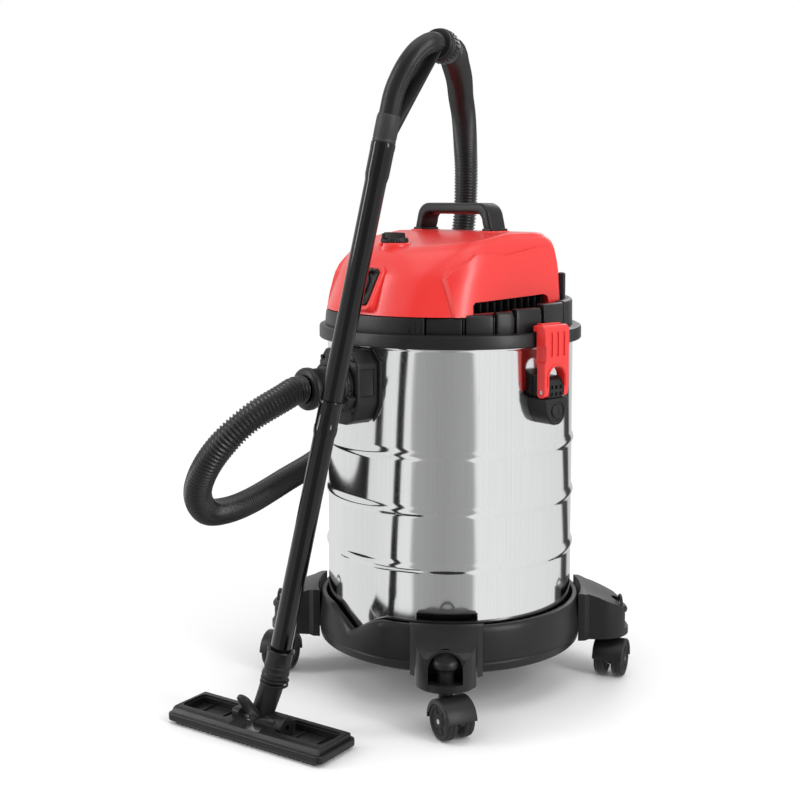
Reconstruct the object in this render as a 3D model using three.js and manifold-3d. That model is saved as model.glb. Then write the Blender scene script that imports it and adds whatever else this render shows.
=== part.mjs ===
// Wet and dry shop vacuum: steel drum on a four-caster dolly, lift-off motor head, hose, wand and floor nozzle.
// Millimetres, +Z up. The inlet and the hose are at -Y, the latches at +X and -X, the casters on the diagonals.
import * as THREE from 'three';
import Module from 'manifold-3d';
import { mergeVertices } from 'three/addons/utils/BufferGeometryUtils.js';

const wasm = await Module();
wasm.setup();

// ---------- driving dimensions ----------
const gap = 0.3;                 // clearance between pieces that touch
const roundSides = 32;           // facets round the big circles, so that nested ones line up
const drumRadius = 160;
const drumWall = 1.2;
const drumHeight = 384.2;
const drumRimReach = 3;          // rolled rim, outside the wall
const beadReach = 2.5;
const beadHeight = 14;
const beadLevels = [114, 183, 252];   // above the drum's floor
const baseUnderside = 54;        // ground clearance of the dolly ring
const baseFloor = 65.8;          // the drum stands here
const baseRim = 106;
const baseWall = 12;
const armReach = 238;            // from the drum's axis to an arm's tip
const armHalfWidth = 37;
const armTop = 113;
const casterCircle = 220;
const postRadius = 15;
const stemRadius = 5;
const stemLength = 30;           // above the arm's underside
const wheelRadius = 23;
const wheelWidth = 15;
const casterTrail = 15;
const axleRadius = 3;
const hoodWall = 2;
const lidFlangeRadius = 171;
const lidFlangeHeight = 17;
const lidPlate = 5;
const lidWallRadius = 149;
const lidWallHeight = 27;
const coverHeight = 98;
const coverWall = 3;
const coverHalfWidth = 125;
const coverFront = 163;
const coverRear = 88;
const handleSpan = 130;
const handleHeight = 36;
const handleDepth = 30;
const handleBar = 13;
const knobRadius = 17;
const socketSide = 48;
const filterHoleRadius = 40;
const cageRadius = 44;
const cageLength = 150;
const floatRadius = 22;
const inletLevel = 400;
const inletRadius = 22;
const inletDepth = 30;
const hoseRadius = 16;
const tubeRadius = 12.5;
const tubeWall = 1.3;
const tubeLength = 299;
const spigotLength = 35;
const bellReach = 1.3;           // how much a tube's belled end is wider
const handleRadius = 12;
const sleeveLength = 32;
const nozzleLength = 232;
const nozzleDepth = 70;
const nozzleHeight = 16;
const neckRadius = 14;
const latchWidth = 44;
const latchPinRadius = 3;
const latchPinOut = 180;         // pin's distance from the drum's axis
const latchPinLevel = 394;
const latchOverlap = 4;          // how far the hook reaches over the lid's flange
const latchRise = 2;             // free height between the hook and the flange

const drumTop = baseFloor + drumHeight;
const flangeTop = drumTop + 15;
const plateTop = drumTop + 6 + lidPlate;
const coverBase = flangeTop + 21;
const coverTop = coverBase + coverHeight;

const colours = {
  steel: [0xc9cbcd, 0.22, 1], black: [0x232323, 0.55, 0], gloss: [0x101010, 0.2, 0],
  red: [0xe0271f, 0.42, 0], rubber: [0x151515, 0.85, 0], grey: [0x8d8f92, 0.4, 0.8],
  paper: [0xe9e4d4, 0.9, 0], white: [0xd9dadb, 0.5, 0],
};

const shopVacuum = new THREE.Group();

// ---------- geometry helpers ----------
function addPart(name, colour, geometry, parent = shopVacuum) {
  const [hex, roughness, metalness] = colours[colour];
  const material = new THREE.MeshStandardMaterial({ color: hex, roughness, metalness });
  const mesh = new THREE.Mesh(geometry, material);
  mesh.name = name;
  parent.add(mesh);
  return mesh;
}

function toSolid(geometry) {
  const bare = geometry.clone();
  bare.deleteAttribute('normal');
  bare.deleteAttribute('uv');
  const merged = mergeVertices(bare, 1e-4);
  const triVerts = new Uint32Array(merged.index.array);
  return new wasm.Manifold(new wasm.Mesh({
    numProp: 3, vertProperties: merged.attributes.position.array, triVerts,
  }));
}

function toGeometry(solid) {
  const mesh = solid.getMesh();
  const geometry = new THREE.BufferGeometry();
  geometry.setAttribute('position', new THREE.BufferAttribute(mesh.vertProperties, 3));
  geometry.setIndex(new THREE.BufferAttribute(mesh.triVerts, 1));
  return geometry;
}

const join = (first, ...others) => toGeometry(
  others.reduce((solid, other) => solid.add(toSolid(other)), toSolid(first)));
const cut = (first, ...others) => toGeometry(
  others.reduce((solid, other) => solid.subtract(toSolid(other)), toSolid(first)));
const common = (first, other) => toGeometry(toSolid(first).intersect(toSolid(other)));

// A box by its middle in X and Y and its bottom in Z.
const block = (wide, deep, high, x = 0, y = 0, z = 0) =>
  new THREE.BoxGeometry(wide, deep, high).translate(x, y, z + high / 2);

// An upright cylinder or cone from its bottom at z.
const rod = (radius, high, x = 0, y = 0, z = 0, sides = 24, topRadius = radius) =>
  new THREE.CylinderGeometry(topRadius, radius, high, sides).rotateX(Math.PI / 2)
    .translate(x, y, z + high / 2);

// A cylinder along Y or X, from its start.
const rodAlongY = (radius, long, x, y, z, sides = 24) =>
  new THREE.CylinderGeometry(radius, radius, long, sides).translate(x, y + long / 2, z);
const rodAlongX = (radius, long, x, y, z, sides = 24) =>
  new THREE.CylinderGeometry(radius, radius, long, sides).rotateZ(Math.PI / 2)
    .translate(x + long / 2, y, z);

// A profile of [radius, height] points turned about Z, its outside first from bottom to top.
function turned(profile, sides = roundSides) {
  const points = profile.map(([r, z]) => new THREE.Vector2(r, z));
  const geometry = new THREE.LatheGeometry(points, sides).rotateX(Math.PI / 2);
  if (signedVolume(geometry) < 0) flip(geometry);
  return geometry;
}

// A closed ring profile: the first point is repeated at the end.
const turnedRing = (profile, sides = roundSides) => turned([...profile, profile[0]], sides);

function signedVolume(geometry) {
  const at = geometry.attributes.position;
  const index = geometry.index.array;
  const corner = (i) => new THREE.Vector3().fromBufferAttribute(at, index[i]);
  let sum = 0;
  for (let i = 0; i < index.length; i += 3) {
    sum += corner(i).dot(corner(i + 1).cross(corner(i + 2)));
  }
  return sum;
}

function flip(geometry) {
  const index = geometry.index.array;
  for (let i = 0; i < index.length; i += 3) {
    [index[i + 1], index[i + 2]] = [index[i + 2], index[i + 1]];
  }
}

// A flat outline pushed up in Z.
const pushed = (shape, high, curveSegments = 6) =>
  new THREE.ExtrudeGeometry(shape, { depth: high, bevelEnabled: false, curveSegments });

// An outline drawn in the X-Z plane and pushed along +Y.
const pushedAlongY = (shape, deep, curveSegments = 6) =>
  pushed(shape, deep, curveSegments).rotateX(Math.PI / 2).translate(0, deep, 0);

// An outline drawn as (outward, up) in the X-Z plane, centred on y = 0.
const slab = (shape, wide, curveSegments = 6) =>
  pushedAlongY(shape, wide, curveSegments).translate(0, -wide / 2, 0);

function roundedRect(wide, high, radius) {
  const x = wide / 2 - radius;
  const y = high / 2 - radius;
  const shape = new THREE.Shape();
  shape.absarc(x, y, radius, 0, Math.PI / 2);
  shape.absarc(-x, y, radius, Math.PI / 2, Math.PI);
  shape.absarc(-x, -y, radius, Math.PI, Math.PI * 1.5);
  shape.absarc(x, -y, radius, Math.PI * 1.5, Math.PI * 2);
  return shape;
}

const polygon = (points) => new THREE.Shape(points.map(([x, y]) => new THREE.Vector2(x, y)));

// A pipe along a curve: a round section, hollow when a bore is given.
function pipe(curve, radius, steps, sides, bore = 0) {
  const circle = (r) => polygon(Array.from({ length: sides }, (_, i) => {
    const turn = (i / sides) * Math.PI * 2;
    return [r * Math.cos(turn), r * Math.sin(turn)];
  }));
  const section = circle(radius);
  if (bore) section.holes.push(circle(bore));
  return new THREE.ExtrudeGeometry(section, { steps, extrudePath: curve, bevelEnabled: false });
}

// ---------- drum ----------
function drumProfile() {
  const outside = beadLevels.flatMap((level) => [
    [drumRadius, level - beadHeight / 2], [drumRadius + beadReach, level - beadHeight / 5],
    [drumRadius + beadReach, level + beadHeight / 5], [drumRadius, level + beadHeight / 2],
  ]);
  return [
    [0, 0], [drumRadius - 4, 0], [drumRadius, 4], ...outside,
    [drumRadius, drumHeight - 5], [drumRadius + drumRimReach, drumHeight - 4],
    [drumRadius + drumRimReach, drumHeight], [drumRadius - drumWall, drumHeight],
    [drumRadius - drumWall, drumWall + 3], [drumRadius - drumWall - 4, drumWall], [0, drumWall],
  ];
}

function drum() {
  const shell = turned(drumProfile()).translate(0, 0, baseFloor);
  const port = rodAlongY(inletRadius + gap, drumRadius, 0, -drumRadius * 1.2, inletLevel);
  return cut(shell, port);
}

// ---------- dolly ----------
const ringOutside = drumRadius + baseWall + 2;

function baseRing() {
  const inside = drumRadius + beadReach;
  return turned([
    [0, baseFloor - 6], [inside, baseFloor - 6], [inside, baseUnderside],
    [ringOutside - 3, baseUnderside], [ringOutside, baseUnderside + 26],
    [ringOutside - 4, baseRim - 2], [ringOutside - 7, baseRim], [inside + 1, baseRim],
    [inside - 1, baseFloor + 24], [inside - 1, baseFloor - gap], [0, baseFloor - gap],
  ]);
}

// One arm along +X: rounded plan, top sloping to the tip, an arched recess with the caster's post in it.
function casterArm() {
  const root = ringOutside + gap;
  const plan = new THREE.Shape();
  const tipCentre = armReach - armHalfWidth;
  plan.moveTo(root - 20, -armHalfWidth);
  plan.absarc(tipCentre, 0, armHalfWidth, -Math.PI / 2, Math.PI / 2);
  plan.lineTo(root - 20, armHalfWidth);
  const body = pushed(plan, armTop - baseUnderside, 8).translate(0, 0, baseUnderside);
  const drumSide = rod(root, armTop, 0, 0, baseUnderside - 1, roundSides);
  const slope = slab(polygon([
    [root + 3, armTop], [armReach - 15, armTop - 22], [armReach - 4, baseUnderside + 12],
    [armReach + 9, baseUnderside - 1], [armReach + 20, armTop + 9], [root, armTop + 9],
  ]), armHalfWidth * 2 + 10);
  const recessHalf = postRadius + 6;
  const archTop = armTop - 14 - recessHalf;
  const arch = new THREE.Shape();
  arch.moveTo(-recessHalf, baseUnderside + 10);
  arch.lineTo(recessHalf, baseUnderside + 10);
  arch.absarc(0, archTop, recessHalf, 0, Math.PI);
  const recess = pushedAlongY(arch, 40, 6).rotateZ(Math.PI / 2)
    .translate(casterCircle - postRadius + 36, 0, 0);
  const post = rod(postRadius, armTop - 17 - baseUnderside, casterCircle, 0, baseUnderside, 16);
  const socket = rod(stemRadius + gap, stemLength + 3, casterCircle, 0, baseUnderside - 1, 12);
  return cut(join(cut(body, drumSide, slope, recess), post), socket);
}

// ---------- casters ----------
// Swivel axis at the origin, floor at z = 0, the wheels trailing along -X and turning about Y.
function casterHood() {
  const inner = wheelRadius + 1;
  const outer = inner + hoodWall;
  const shellWidth = wheelWidth * 2 + 9;
  const shell = new THREE.Shape();
  shell.absarc(0, 0, outer, -0.1, Math.PI * 0.97);
  shell.absarc(0, 0, inner, Math.PI * 0.97, -0.1, true);
  const web = new THREE.Shape();
  web.absarc(0, 0, inner + 0.5, 0, Math.PI);
  web.lineTo(-7, -7);
  web.lineTo(7, -7);
  const stemStart = wheelRadius - 4;
  const neck = rod(stemRadius + 3.5, baseUnderside - 1 - wheelRadius - stemStart, casterTrail, 0,
    stemStart, 12);
  const stem = rod(stemRadius, baseUnderside + stemLength - wheelRadius - stemStart, casterTrail, 0,
    stemStart, 12);
  const body = join(slab(shell, shellWidth, 4), slab(web, 7, 4), neck, stem);
  const wheelRoom = rodAlongY(wheelRadius + 0.8, wheelWidth + 1.2, 0, 3.5, 0, 12);
  const otherRoom = rodAlongY(wheelRadius + 0.8, wheelWidth + 1.2, 0, -3.5 - wheelWidth - 1.2, 0, 12);
  const bore = rodAlongY(axleRadius + gap, 20, 0, -10, 0, 10);
  return cut(body, wheelRoom, otherRoom, bore).translate(-casterTrail, 0, wheelRadius);
}

function casterWheel(side) {
  const start = side > 0 ? 4 : -4 - wheelWidth;
  const wheel = rodAlongY(wheelRadius, wheelWidth, 0, start, 0, 20);
  const bore = rodAlongY(axleRadius + gap, wheelWidth + 2, 0, start - 1, 0, 10);
  return cut(wheel, bore).translate(-casterTrail, 0, wheelRadius);
}

const casterAxle = () => rodAlongY(axleRadius, 2 * wheelWidth + 8, 0, -wheelWidth - 4, 0, 10)
  .translate(-casterTrail, 0, wheelRadius);

// Corner angle about the drum's axis and how far the caster has swung round its stem, in degrees.
const casters = {
  front_right: [-45, 212], rear_right: [45, 70], rear_left: [135, 30], front_left: [-135, -108],
};

function addDolly() {
  addPart('base_ring', 'black', baseRing());
  for (const [corner, [place, swing]] of Object.entries(casters)) {
    const around = THREE.MathUtils.degToRad(place);
    addPart(`caster_arm_${corner}`, 'black', casterArm()).rotation.z = around;
    const caster = new THREE.Group();
    caster.position.set(casterCircle * Math.cos(around), casterCircle * Math.sin(around), 0);
    caster.rotation.z = around + THREE.MathUtils.degToRad(swing);
    shopVacuum.add(caster);
    addPart(`caster_hood_${corner}`, 'black', casterHood(), caster);
    addPart(`caster_wheel_a_${corner}`, 'rubber', casterWheel(1), caster);
    addPart(`caster_wheel_b_${corner}`, 'rubber', casterWheel(-1), caster);
    addPart(`caster_axle_${corner}`, 'grey', casterAxle(), caster);
  }
}

// ---------- inlet ----------
const inletFace = drumRadius + inletDepth;

function inletHousing() {
  const outline = polygon([
    [-37, 28], [-24, 43], [24, 43], [37, 28], [37, -22], [26, -42], [12, -47], [-12, -47], [-26, -42],
    [-37, -22],
  ]);
  const body = pushedAlongY(outline, inletDepth + 20).translate(0, -inletFace, inletLevel);
  const drumSide = rod(drumRadius + gap, drumHeight, 0, 0, baseFloor, roundSides);
  const spigot = rodAlongY(inletRadius, inletDepth + 18, 0, -inletFace + 2, inletLevel);
  const bore = rodAlongY(inletRadius - 2.5, inletDepth + 30, 0, -inletFace - 1, inletLevel);
  const rim = rodAlongY(inletRadius + 5 + gap, 10, 0, -inletFace - 1, inletLevel);
  return cut(join(cut(body, drumSide), spigot), bore, rim);
}

function inletConnector() {
  const ring = rodAlongY(inletRadius + 10, 14, 0, -inletFace - gap - 14, inletLevel);
  const nose = rodAlongY(inletRadius + 5, 8, 0, -inletFace - gap - 1, inletLevel);
  const tab = block(16, 12, 8, 0, -inletFace - gap - 7, inletLevel + inletRadius + 7);
  const bore = rodAlongY(hoseRadius - 1, 40, 0, -inletFace - gap - 20, inletLevel);
  return cut(join(ring, nose, tab), bore);
}

const cuffStart = inletFace + gap * 2 + 14;
const cuffLength = 38;

function hoseCuff() {
  const cone = turnedRing([
    [hoseRadius - 1, 0], [inletRadius + 3, 0], [inletRadius + 3, 16], [inletRadius + 1, 20],
    [inletRadius + 1, cuffLength - 4], [hoseRadius + 3, cuffLength], [hoseRadius - 1, cuffLength],
  ], 20);
  return cone.rotateX(Math.PI / 2).translate(0, -cuffStart, inletLevel);
}

// ---------- latches ----------
// Drawn on the +X side; the other one is turned half round.
const latchFace = lidFlangeRadius + 1;
const latchTop = flangeTop + latchRise;

function latchClip() {
  const outside = latchPinOut + 7;
  const side = slab(polygon([
    [latchPinOut - 6, latchPinLevel - 7], [outside - 3, latchPinLevel - 7],
    [outside, latchPinLevel], [outside, latchTop + 4], [outside - 4, latchTop + 8],
    [lidFlangeRadius - latchOverlap, latchTop + 7], [lidFlangeRadius - latchOverlap, latchTop],
    [latchFace + 0.5, latchTop], [latchFace + 0.5, flangeTop - lidFlangeHeight - 20],
    [latchPinOut - 6, flangeTop - lidFlangeHeight - 26],
  ]), latchWidth);
  const windowHalf = latchWidth / 2 - 8;
  const arch = new THREE.Shape();
  arch.moveTo(-windowHalf, latchPinLevel - 12);
  arch.lineTo(windowHalf, latchPinLevel - 12);
  arch.absarc(0, latchPinLevel + 17, windowHalf, 0, Math.PI);
  const window = pushedAlongY(arch, 60, 8).rotateZ(Math.PI / 2).translate(outside + 20, 0, 0);
  const bore = rodAlongY(latchPinRadius + gap, latchWidth + 10, latchPinOut, -latchWidth / 2 - 5,
    latchPinLevel, 16);
  const grips = [-11, 0, 11].map((y) =>
    block(4, 4, 30, outside + 1, y, latchTop - 28));
  return cut(side, window, bore, ...grips);
}

function latchBracket() {
  const half = latchWidth / 2 - 8 - gap;
  const tongue = slab(polygon([
    [drumRadius - 10, latchPinLevel - 10], [latchPinOut + 5, latchPinLevel - 10],
    [latchPinOut + 6, latchPinLevel + 8], [latchPinOut - 2, latchPinLevel + 16],
    [drumRadius - 10, latchPinLevel + 16],
  ]), half * 2);
  const cupShape = new THREE.Shape();
  const cupHalf = latchWidth / 2 - 1;
  cupShape.moveTo(-cupHalf, latchPinLevel - 9.2);
  cupShape.bezierCurveTo(-cupHalf, latchPinLevel - 30, -10, latchPinLevel - 41, 0, latchPinLevel - 41);
  cupShape.bezierCurveTo(10, latchPinLevel - 41, cupHalf, latchPinLevel - 30, cupHalf,
    latchPinLevel - 9.2);
  const cup = pushedAlongY(cupShape, latchPinOut + 8 - drumRadius + 10, 8).rotateZ(Math.PI / 2)
    .translate(latchPinOut + 8, 0, 0);
  const drumSide = rod(drumRadius + gap, drumHeight, 0, 0, baseFloor, roundSides);
  const bore = rodAlongY(latchPinRadius + gap, latchWidth, latchPinOut, -latchWidth / 2,
    latchPinLevel, 16);
  return cut(join(tongue, cup), drumSide, bore);
}

const latchPin = () => rodAlongY(latchPinRadius, latchWidth - 2, latchPinOut, -latchWidth / 2 + 1,
  latchPinLevel, 16);

function addLatches() {
  for (const [side, turn] of [['right', 0], ['left', Math.PI]]) {
    const latch = new THREE.Group();
    latch.rotation.z = turn;
    shopVacuum.add(latch);
    addPart(`latch_bracket_${side}`, 'black', latchBracket(), latch);
    addPart(`latch_pin_${side}`, 'grey', latchPin(), latch);
    addPart(`latch_clip_${side}`, 'red', latchClip(), latch);
  }
}

// ---------- lid ----------
const filterHole = 17;
const plateBottom = plateTop - lidPlate;
const shoulderInside = 112;
const frontWallHalf = 92;

function lidRing() {
  const spigotOutside = drumRadius - drumWall - 1.5;
  const skirt = drumRadius + drumRimReach + 3.5;
  const ring = turnedRing([
    [filterHole, plateBottom], [spigotOutside - 7, plateBottom], [spigotOutside - 7, drumTop - 14],
    [spigotOutside, drumTop - 14], [spigotOutside, drumTop + 3.5], [skirt, drumTop + 3.5],
    [skirt, flangeTop - lidFlangeHeight], [lidFlangeRadius, flangeTop - lidFlangeHeight],
    [lidFlangeRadius, flangeTop - 2], [lidFlangeRadius - 2, flangeTop], [lidWallRadius, flangeTop],
    [lidWallRadius, coverBase - gap], [shoulderInside, coverBase - gap],
    [shoulderInside, coverBase - 4], [lidWallRadius - 4, coverBase - 4],
    [lidWallRadius - 4, plateTop], [filterHole, plateTop],
  ]);
  const band = turnedRing([
    [lidWallRadius - 3, flangeTop - 2], [coverFront, flangeTop - 2],
    [coverFront - 1, coverBase - gap], [lidWallRadius - 3, coverBase - gap],
  ]);
  const frontOnly = pushed(polygon([
    [0, 0], [-frontWallHalf * 2, -coverFront * 1.9], [frontWallHalf * 2, -coverFront * 1.9],
  ]), coverTop);
  return join(ring, common(band, frontOnly));
}

function lidGasket() {
  const inside = drumRadius - drumWall - 1;
  const outside = drumRadius + drumRimReach + 2.5;
  return turnedRing([
    [inside, drumTop + gap], [outside, drumTop + gap], [outside, drumTop + 3.5 - gap],
    [inside, drumTop + 3.5 - gap],
  ]);
}

// ---------- motor cover ----------
// Share of the height, then how far the front, side and rear walls stand from the middle.
const coverRows = [
  [0, coverFront, coverHalfWidth, coverRear], [0.55, 144, 121, 87], [0.82, 130, 117, 83],
  [0.95, 119, 111, 78], [1, 102, 101, 68],
];
const cornerPower = 12;
const frontDrop = 16;            // the top is this much lower at the front edge

function coverReach(share) {
  const next = Math.max(1, coverRows.findIndex(([level]) => level >= share));
  const [low, high] = [coverRows[next - 1], coverRows[next]];
  const part = (share - low[0]) / (high[0] - low[0]);
  return low.slice(1).map((value, i) => value + (high[i + 1] - value) * part);
}

// The outline's radius in one direction: flat walls, run together round the corners.
function coverRadius(angle, [front, side, rear], inset) {
  const walls = [[-90, front], [-53, front], [-127, front], [0, side], [180, side], [90, rear]];
  const sum = walls.reduce((total, [facing, reach]) => {
    const toward = Math.cos(angle - THREE.MathUtils.degToRad(facing));
    return total + (Math.max(0, toward) / (reach - inset)) ** cornerPower;
  }, 0);
  return sum ** (-1 / cornerPower);
}

function coverSolid(inset) {
  const levels = coverRows.map(([share]) => [1, share * coverHeight]);
  const geometry = turned([[0, 0], ...levels, [0, coverHeight]], 28);
  const at = geometry.attributes.position;
  for (let i = 0; i < at.count; i += 1) {
    const [x, y, z] = [at.getX(i), at.getY(i), at.getZ(i)];
    const share = z / coverHeight;
    const scale = coverRadius(Math.atan2(y, x), coverReach(share), inset) * Math.hypot(x, y);
    const turn = Math.atan2(y, x);
    const forward = -scale * Math.sin(turn);
    const drop = frontDrop * share ** 2 * Math.max(0, forward / coverReach(share)[0]);
    at.setXYZ(i, scale * Math.cos(turn), scale * Math.sin(turn), z - drop);
  }
  return geometry;
}

const ventLength = 132;
const ventHeight = 17;
const ventMiddle = -18;
const knobPlace = -97;
const knobSeat = coverTop - 12;
const handlePlace = 17;
const socketTilt = THREE.MathUtils.degToRad(62);
const onSlope = (geometry) => geometry.rotateX(socketTilt)
  .translate(0, -coverFront + 14, coverBase + 31);

function motorCover() {
  const inside = coverSolid(coverWall).translate(0, 0, coverBase - coverWall);
  const below = block(400, 400, coverWall + 1, 0, 0, coverBase - coverWall - 1);
  const shell = cut(coverSolid(0).translate(0, 0, coverBase), inside, below);
  const socketBoss = onSlope(block(socketSide + 10, socketSide + 10, 12, 0, 0, -9));
  const knobBoss = rod(knobRadius + 4, 30, 0, knobPlace, knobSeat - 30, 28);
  const pads = [-1, 1].map((side) =>
    block(24, handleDepth + 6, 8, side * handleSpan / 2, handlePlace, coverTop - 7));
  const rearBosses = [-1, 1].map((side) =>
    new THREE.SphereGeometry(6, 12, 8).translate(side * 52, coverRear - 3, coverBase + 46));
  const vents = [-1, 1].map((side) =>
    block(30, ventLength, ventHeight + 2, side * coverHalfWidth, ventMiddle, coverBase - 2));
  const socketRoom = onSlope(block(socketSide - 8, socketSide - 8, 60, 0, 0, -40));
  const spindleRoom = rod(4 + gap, 20, 0, knobPlace, knobSeat - 14, 16);
  return cut(join(shell, socketBoss, knobBoss, ...pads, ...rearBosses), ...vents, socketRoom,
    spindleRoom);
}

const ventFins = 9;

function ventGrille(side) {
  const back = coverHalfWidth - coverWall - 9.5;
  const plate = block(2.5, ventLength - 1, ventHeight, side * back, ventMiddle, coverBase);
  const fins = Array.from({ length: ventFins }, (_, i) => block(8, 2, ventHeight,
    side * (back + 4.5), ventMiddle + ((i + 0.5) / ventFins - 0.5) * (ventLength - 4), coverBase));
  return join(plate, ...fins);
}

function carryHandle() {
  const outer = handleSpan / 2 + 7;
  const inner = handleSpan / 2 - 6;
  const under = handleHeight - handleBar;
  const arch = polygon([
    [-outer, 0], [-inner, 0], [-inner + 5, under - 6], [-inner + 11, under], [inner - 11, under],
    [inner - 5, under - 6], [inner, 0], [outer, 0], [outer - 6, handleHeight - 10],
    [outer - 15, handleHeight], [-outer + 15, handleHeight], [-outer + 6, handleHeight - 10],
  ]);
  return slab(arch, handleDepth).translate(0, handlePlace, coverTop + 1 + gap);
}

function selectorKnob() {
  const seat = knobSeat + gap;
  const dial = rod(knobRadius, 6, 0, knobPlace, seat, 28, knobRadius - 1);
  const grip = block(9, 30, 8, 0, knobPlace, seat + 5);
  const spindle = rod(4, 12, 0, knobPlace, seat - 11, 16);
  return join(dial, grip, spindle);
}

// ---------- appliance socket, drawn flat with +Z outwards and +Y up the slope ----------
const socketFace = 3 + gap;
const socketBore = 17;
const flapPinRadius = 1.5;
const flapHinge = [20.5, socketFace + 7];   // up the slope, and out from it

function socketPlate() {
  const plate = pushed(roundedRect(socketSide, socketSide, 5), 4).translate(0, 0, socketFace);
  const cup = block(socketSide - 8.6, socketSide - 8.6, 22, 0, 0, socketFace - 21);
  const ears = [-1, 1].map((side) =>
    block(3, 6, 7, side * 10.5, flapHinge[0], socketFace + 2.5));
  const bore = rod(socketBore, 40, 0, 0, socketFace - 14, 24);
  const pinRoom = rodAlongX(flapPinRadius + gap, 30, -15, flapHinge[0], flapHinge[1], 12);
  return onSlope(cut(join(cut(join(plate, cup), bore), ...ears), pinRoom));
}

function socketFlap() {
  const disc = rod(socketBore + 1.5, 3, 0, 0, socketFace + 4 + gap, 24);
  const knuckle = rodAlongX(2.7, 17, -8.5, flapHinge[0], flapHinge[1], 16);
  const arm = block(14, 12, 3, 0, flapHinge[0] - 7, socketFace + 4 + gap);
  const trunnions = rodAlongX(flapPinRadius, 24, -12, flapHinge[0], flapHinge[1], 12);
  return onSlope(join(disc, arm, knuckle, trunnions));
}

// ---------- rear of the head ----------
const outletLevel = coverBase + 19;
const outletFace = lidWallRadius + 2;

function blowerOutlet() {
  const box = block(100, outletFace - coverRear - 6, 38, 0, (outletFace + coverRear + 6) / 2, coverBase);
  const spout = rodAlongY(18, 24, 0, outletFace - 2, outletLevel, 28);
  const bore = rodAlongY(15, 70, 0, outletFace - 40, outletLevel, 28);
  return cut(join(box, spout), bore);
}

function cableGland() {
  const flange = rod(11, 4, 0, 0, 0, 16);
  const sleeve = rod(8, 26, 0, 0, 2, 16, 5);
  const bore = rod(3.5, 40, 0, 0, 3, 12);
  return cut(join(flange, sleeve), bore).rotateY(Math.PI / 2)
    .translate(lidWallRadius + gap, 0, (flangeTop + coverBase) / 2 + 0.5)
    .rotateZ(THREE.MathUtils.degToRad(124));
}

// ---------- motor, fan and filter ----------
const fanTop = plateTop + 23;
const shaftRadius = 4;

function fanHousing() {
  const shell = turnedRing([
    [30, plateTop + gap], [62, plateTop + gap], [62, fanTop], [shaftRadius + 4, fanTop],
    [shaftRadius + 4, fanTop - 3], [58, fanTop - 3], [58, plateTop + 4], [30, plateTop + 4],
  ], 24);
  return cut(shell, block(30, 140, 12, 0, 0, plateTop + 6));
}

function impeller() {
  const disc = rod(52, 3, 0, 0, plateTop + 16, 28);
  const hub = rod(12, 10, 0, 0, plateTop + 7, 16);
  const blades = Array.from({ length: 7 }, (_, i) =>
    block(40, 2, 9, 30, 0, plateTop + 8).rotateZ((i / 7) * Math.PI * 2));
  return cut(join(disc, hub, ...blades), rod(shaftRadius + gap, 40, 0, 0, plateTop, 16));
}

function motor() {
  const can = rod(46, 58, 0, 0, fanTop + gap, 32);
  const bearing = rod(14, 8, 0, 0, fanTop + 57, 20);
  return cut(join(can, bearing), rod(shaftRadius + gap, 90, 0, 0, fanTop - 5, 16));
}

const motorShaft = () => rod(shaftRadius, fanTop + 60 - plateTop - 6, 0, 0, plateTop + 6, 16);

const cageTop = plateBottom - gap;
const cageBottom = cageTop - cageLength;

function filterCage() {
  const wall = 3;
  const cage = turned([
    [0, cageBottom], [cageRadius, cageBottom], [cageRadius, cageTop - 3], [cageRadius + 10, cageTop - 3],
    [cageRadius + 10, cageTop], [cageRadius - wall, cageTop], [cageRadius - wall, cageBottom + 4],
    [0, cageBottom + 4],
  ], 24);
  const windows = [0, 60, 120].map((turn) =>
    block(120, 20, cageLength - 50, 0, 0, cageBottom + 20).rotateZ(THREE.MathUtils.degToRad(turn)));
  return cut(cage, ...windows);
}

function filterCartridge() {
  const pleats = 24;
  const star = polygon(Array.from({ length: pleats * 2 }, (_, i) => {
    const turn = (i / pleats) * Math.PI;
    const radius = i % 2 ? cageRadius + 18 : cageRadius + 28;
    return [radius * Math.cos(turn), radius * Math.sin(turn)];
  }));
  const hole = new THREE.Path();
  hole.absarc(0, 0, cageRadius + 2, 0, Math.PI * 2, true);
  star.holes.push(hole);
  const paper = pushed(star, cageLength - 4, 12).translate(0, 0, cageBottom - 1);
  const cap = rod(cageRadius + 30, 7, 0, 0, cageBottom - gap - 7, 32);
  const tab = block(50, 8, 14, 0, 0, cageBottom - gap - 19);
  return join(cut(paper, block(200, 200, 5, 0, 0, cageBottom - 5 - gap)), cap, tab);
}

const floatBall = () => new THREE.SphereGeometry(floatRadius, 16, 12)
  .translate(0, 0, cageBottom + 4 + gap + floatRadius);

function addHead() {
  addPart('lid_ring', 'black', lidRing());
  addPart('lid_gasket', 'rubber', lidGasket());
  addPart('motor_cover', 'red', motorCover());
  addPart('vent_grille_right', 'black', ventGrille(1));
  addPart('vent_grille_left', 'black', ventGrille(-1));
  addPart('carry_handle', 'black', carryHandle());
  addPart('selector_knob', 'black', selectorKnob());
  addPart('socket_plate', 'black', socketPlate());
  addPart('socket_flap', 'black', socketFlap());
  addPart('blower_outlet', 'black', blowerOutlet());
  addPart('cable_gland', 'black', cableGland());
  addPart('fan_housing', 'white', fanHousing());
  addPart('impeller', 'grey', impeller());
  addPart('motor', 'grey', motor());
  addPart('motor_shaft', 'grey', motorShaft());
  addPart('filter_cage', 'black', filterCage());
  addPart('filter_cartridge', 'paper', filterCartridge());
  addPart('float_ball', 'white', floatBall());
}

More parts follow.
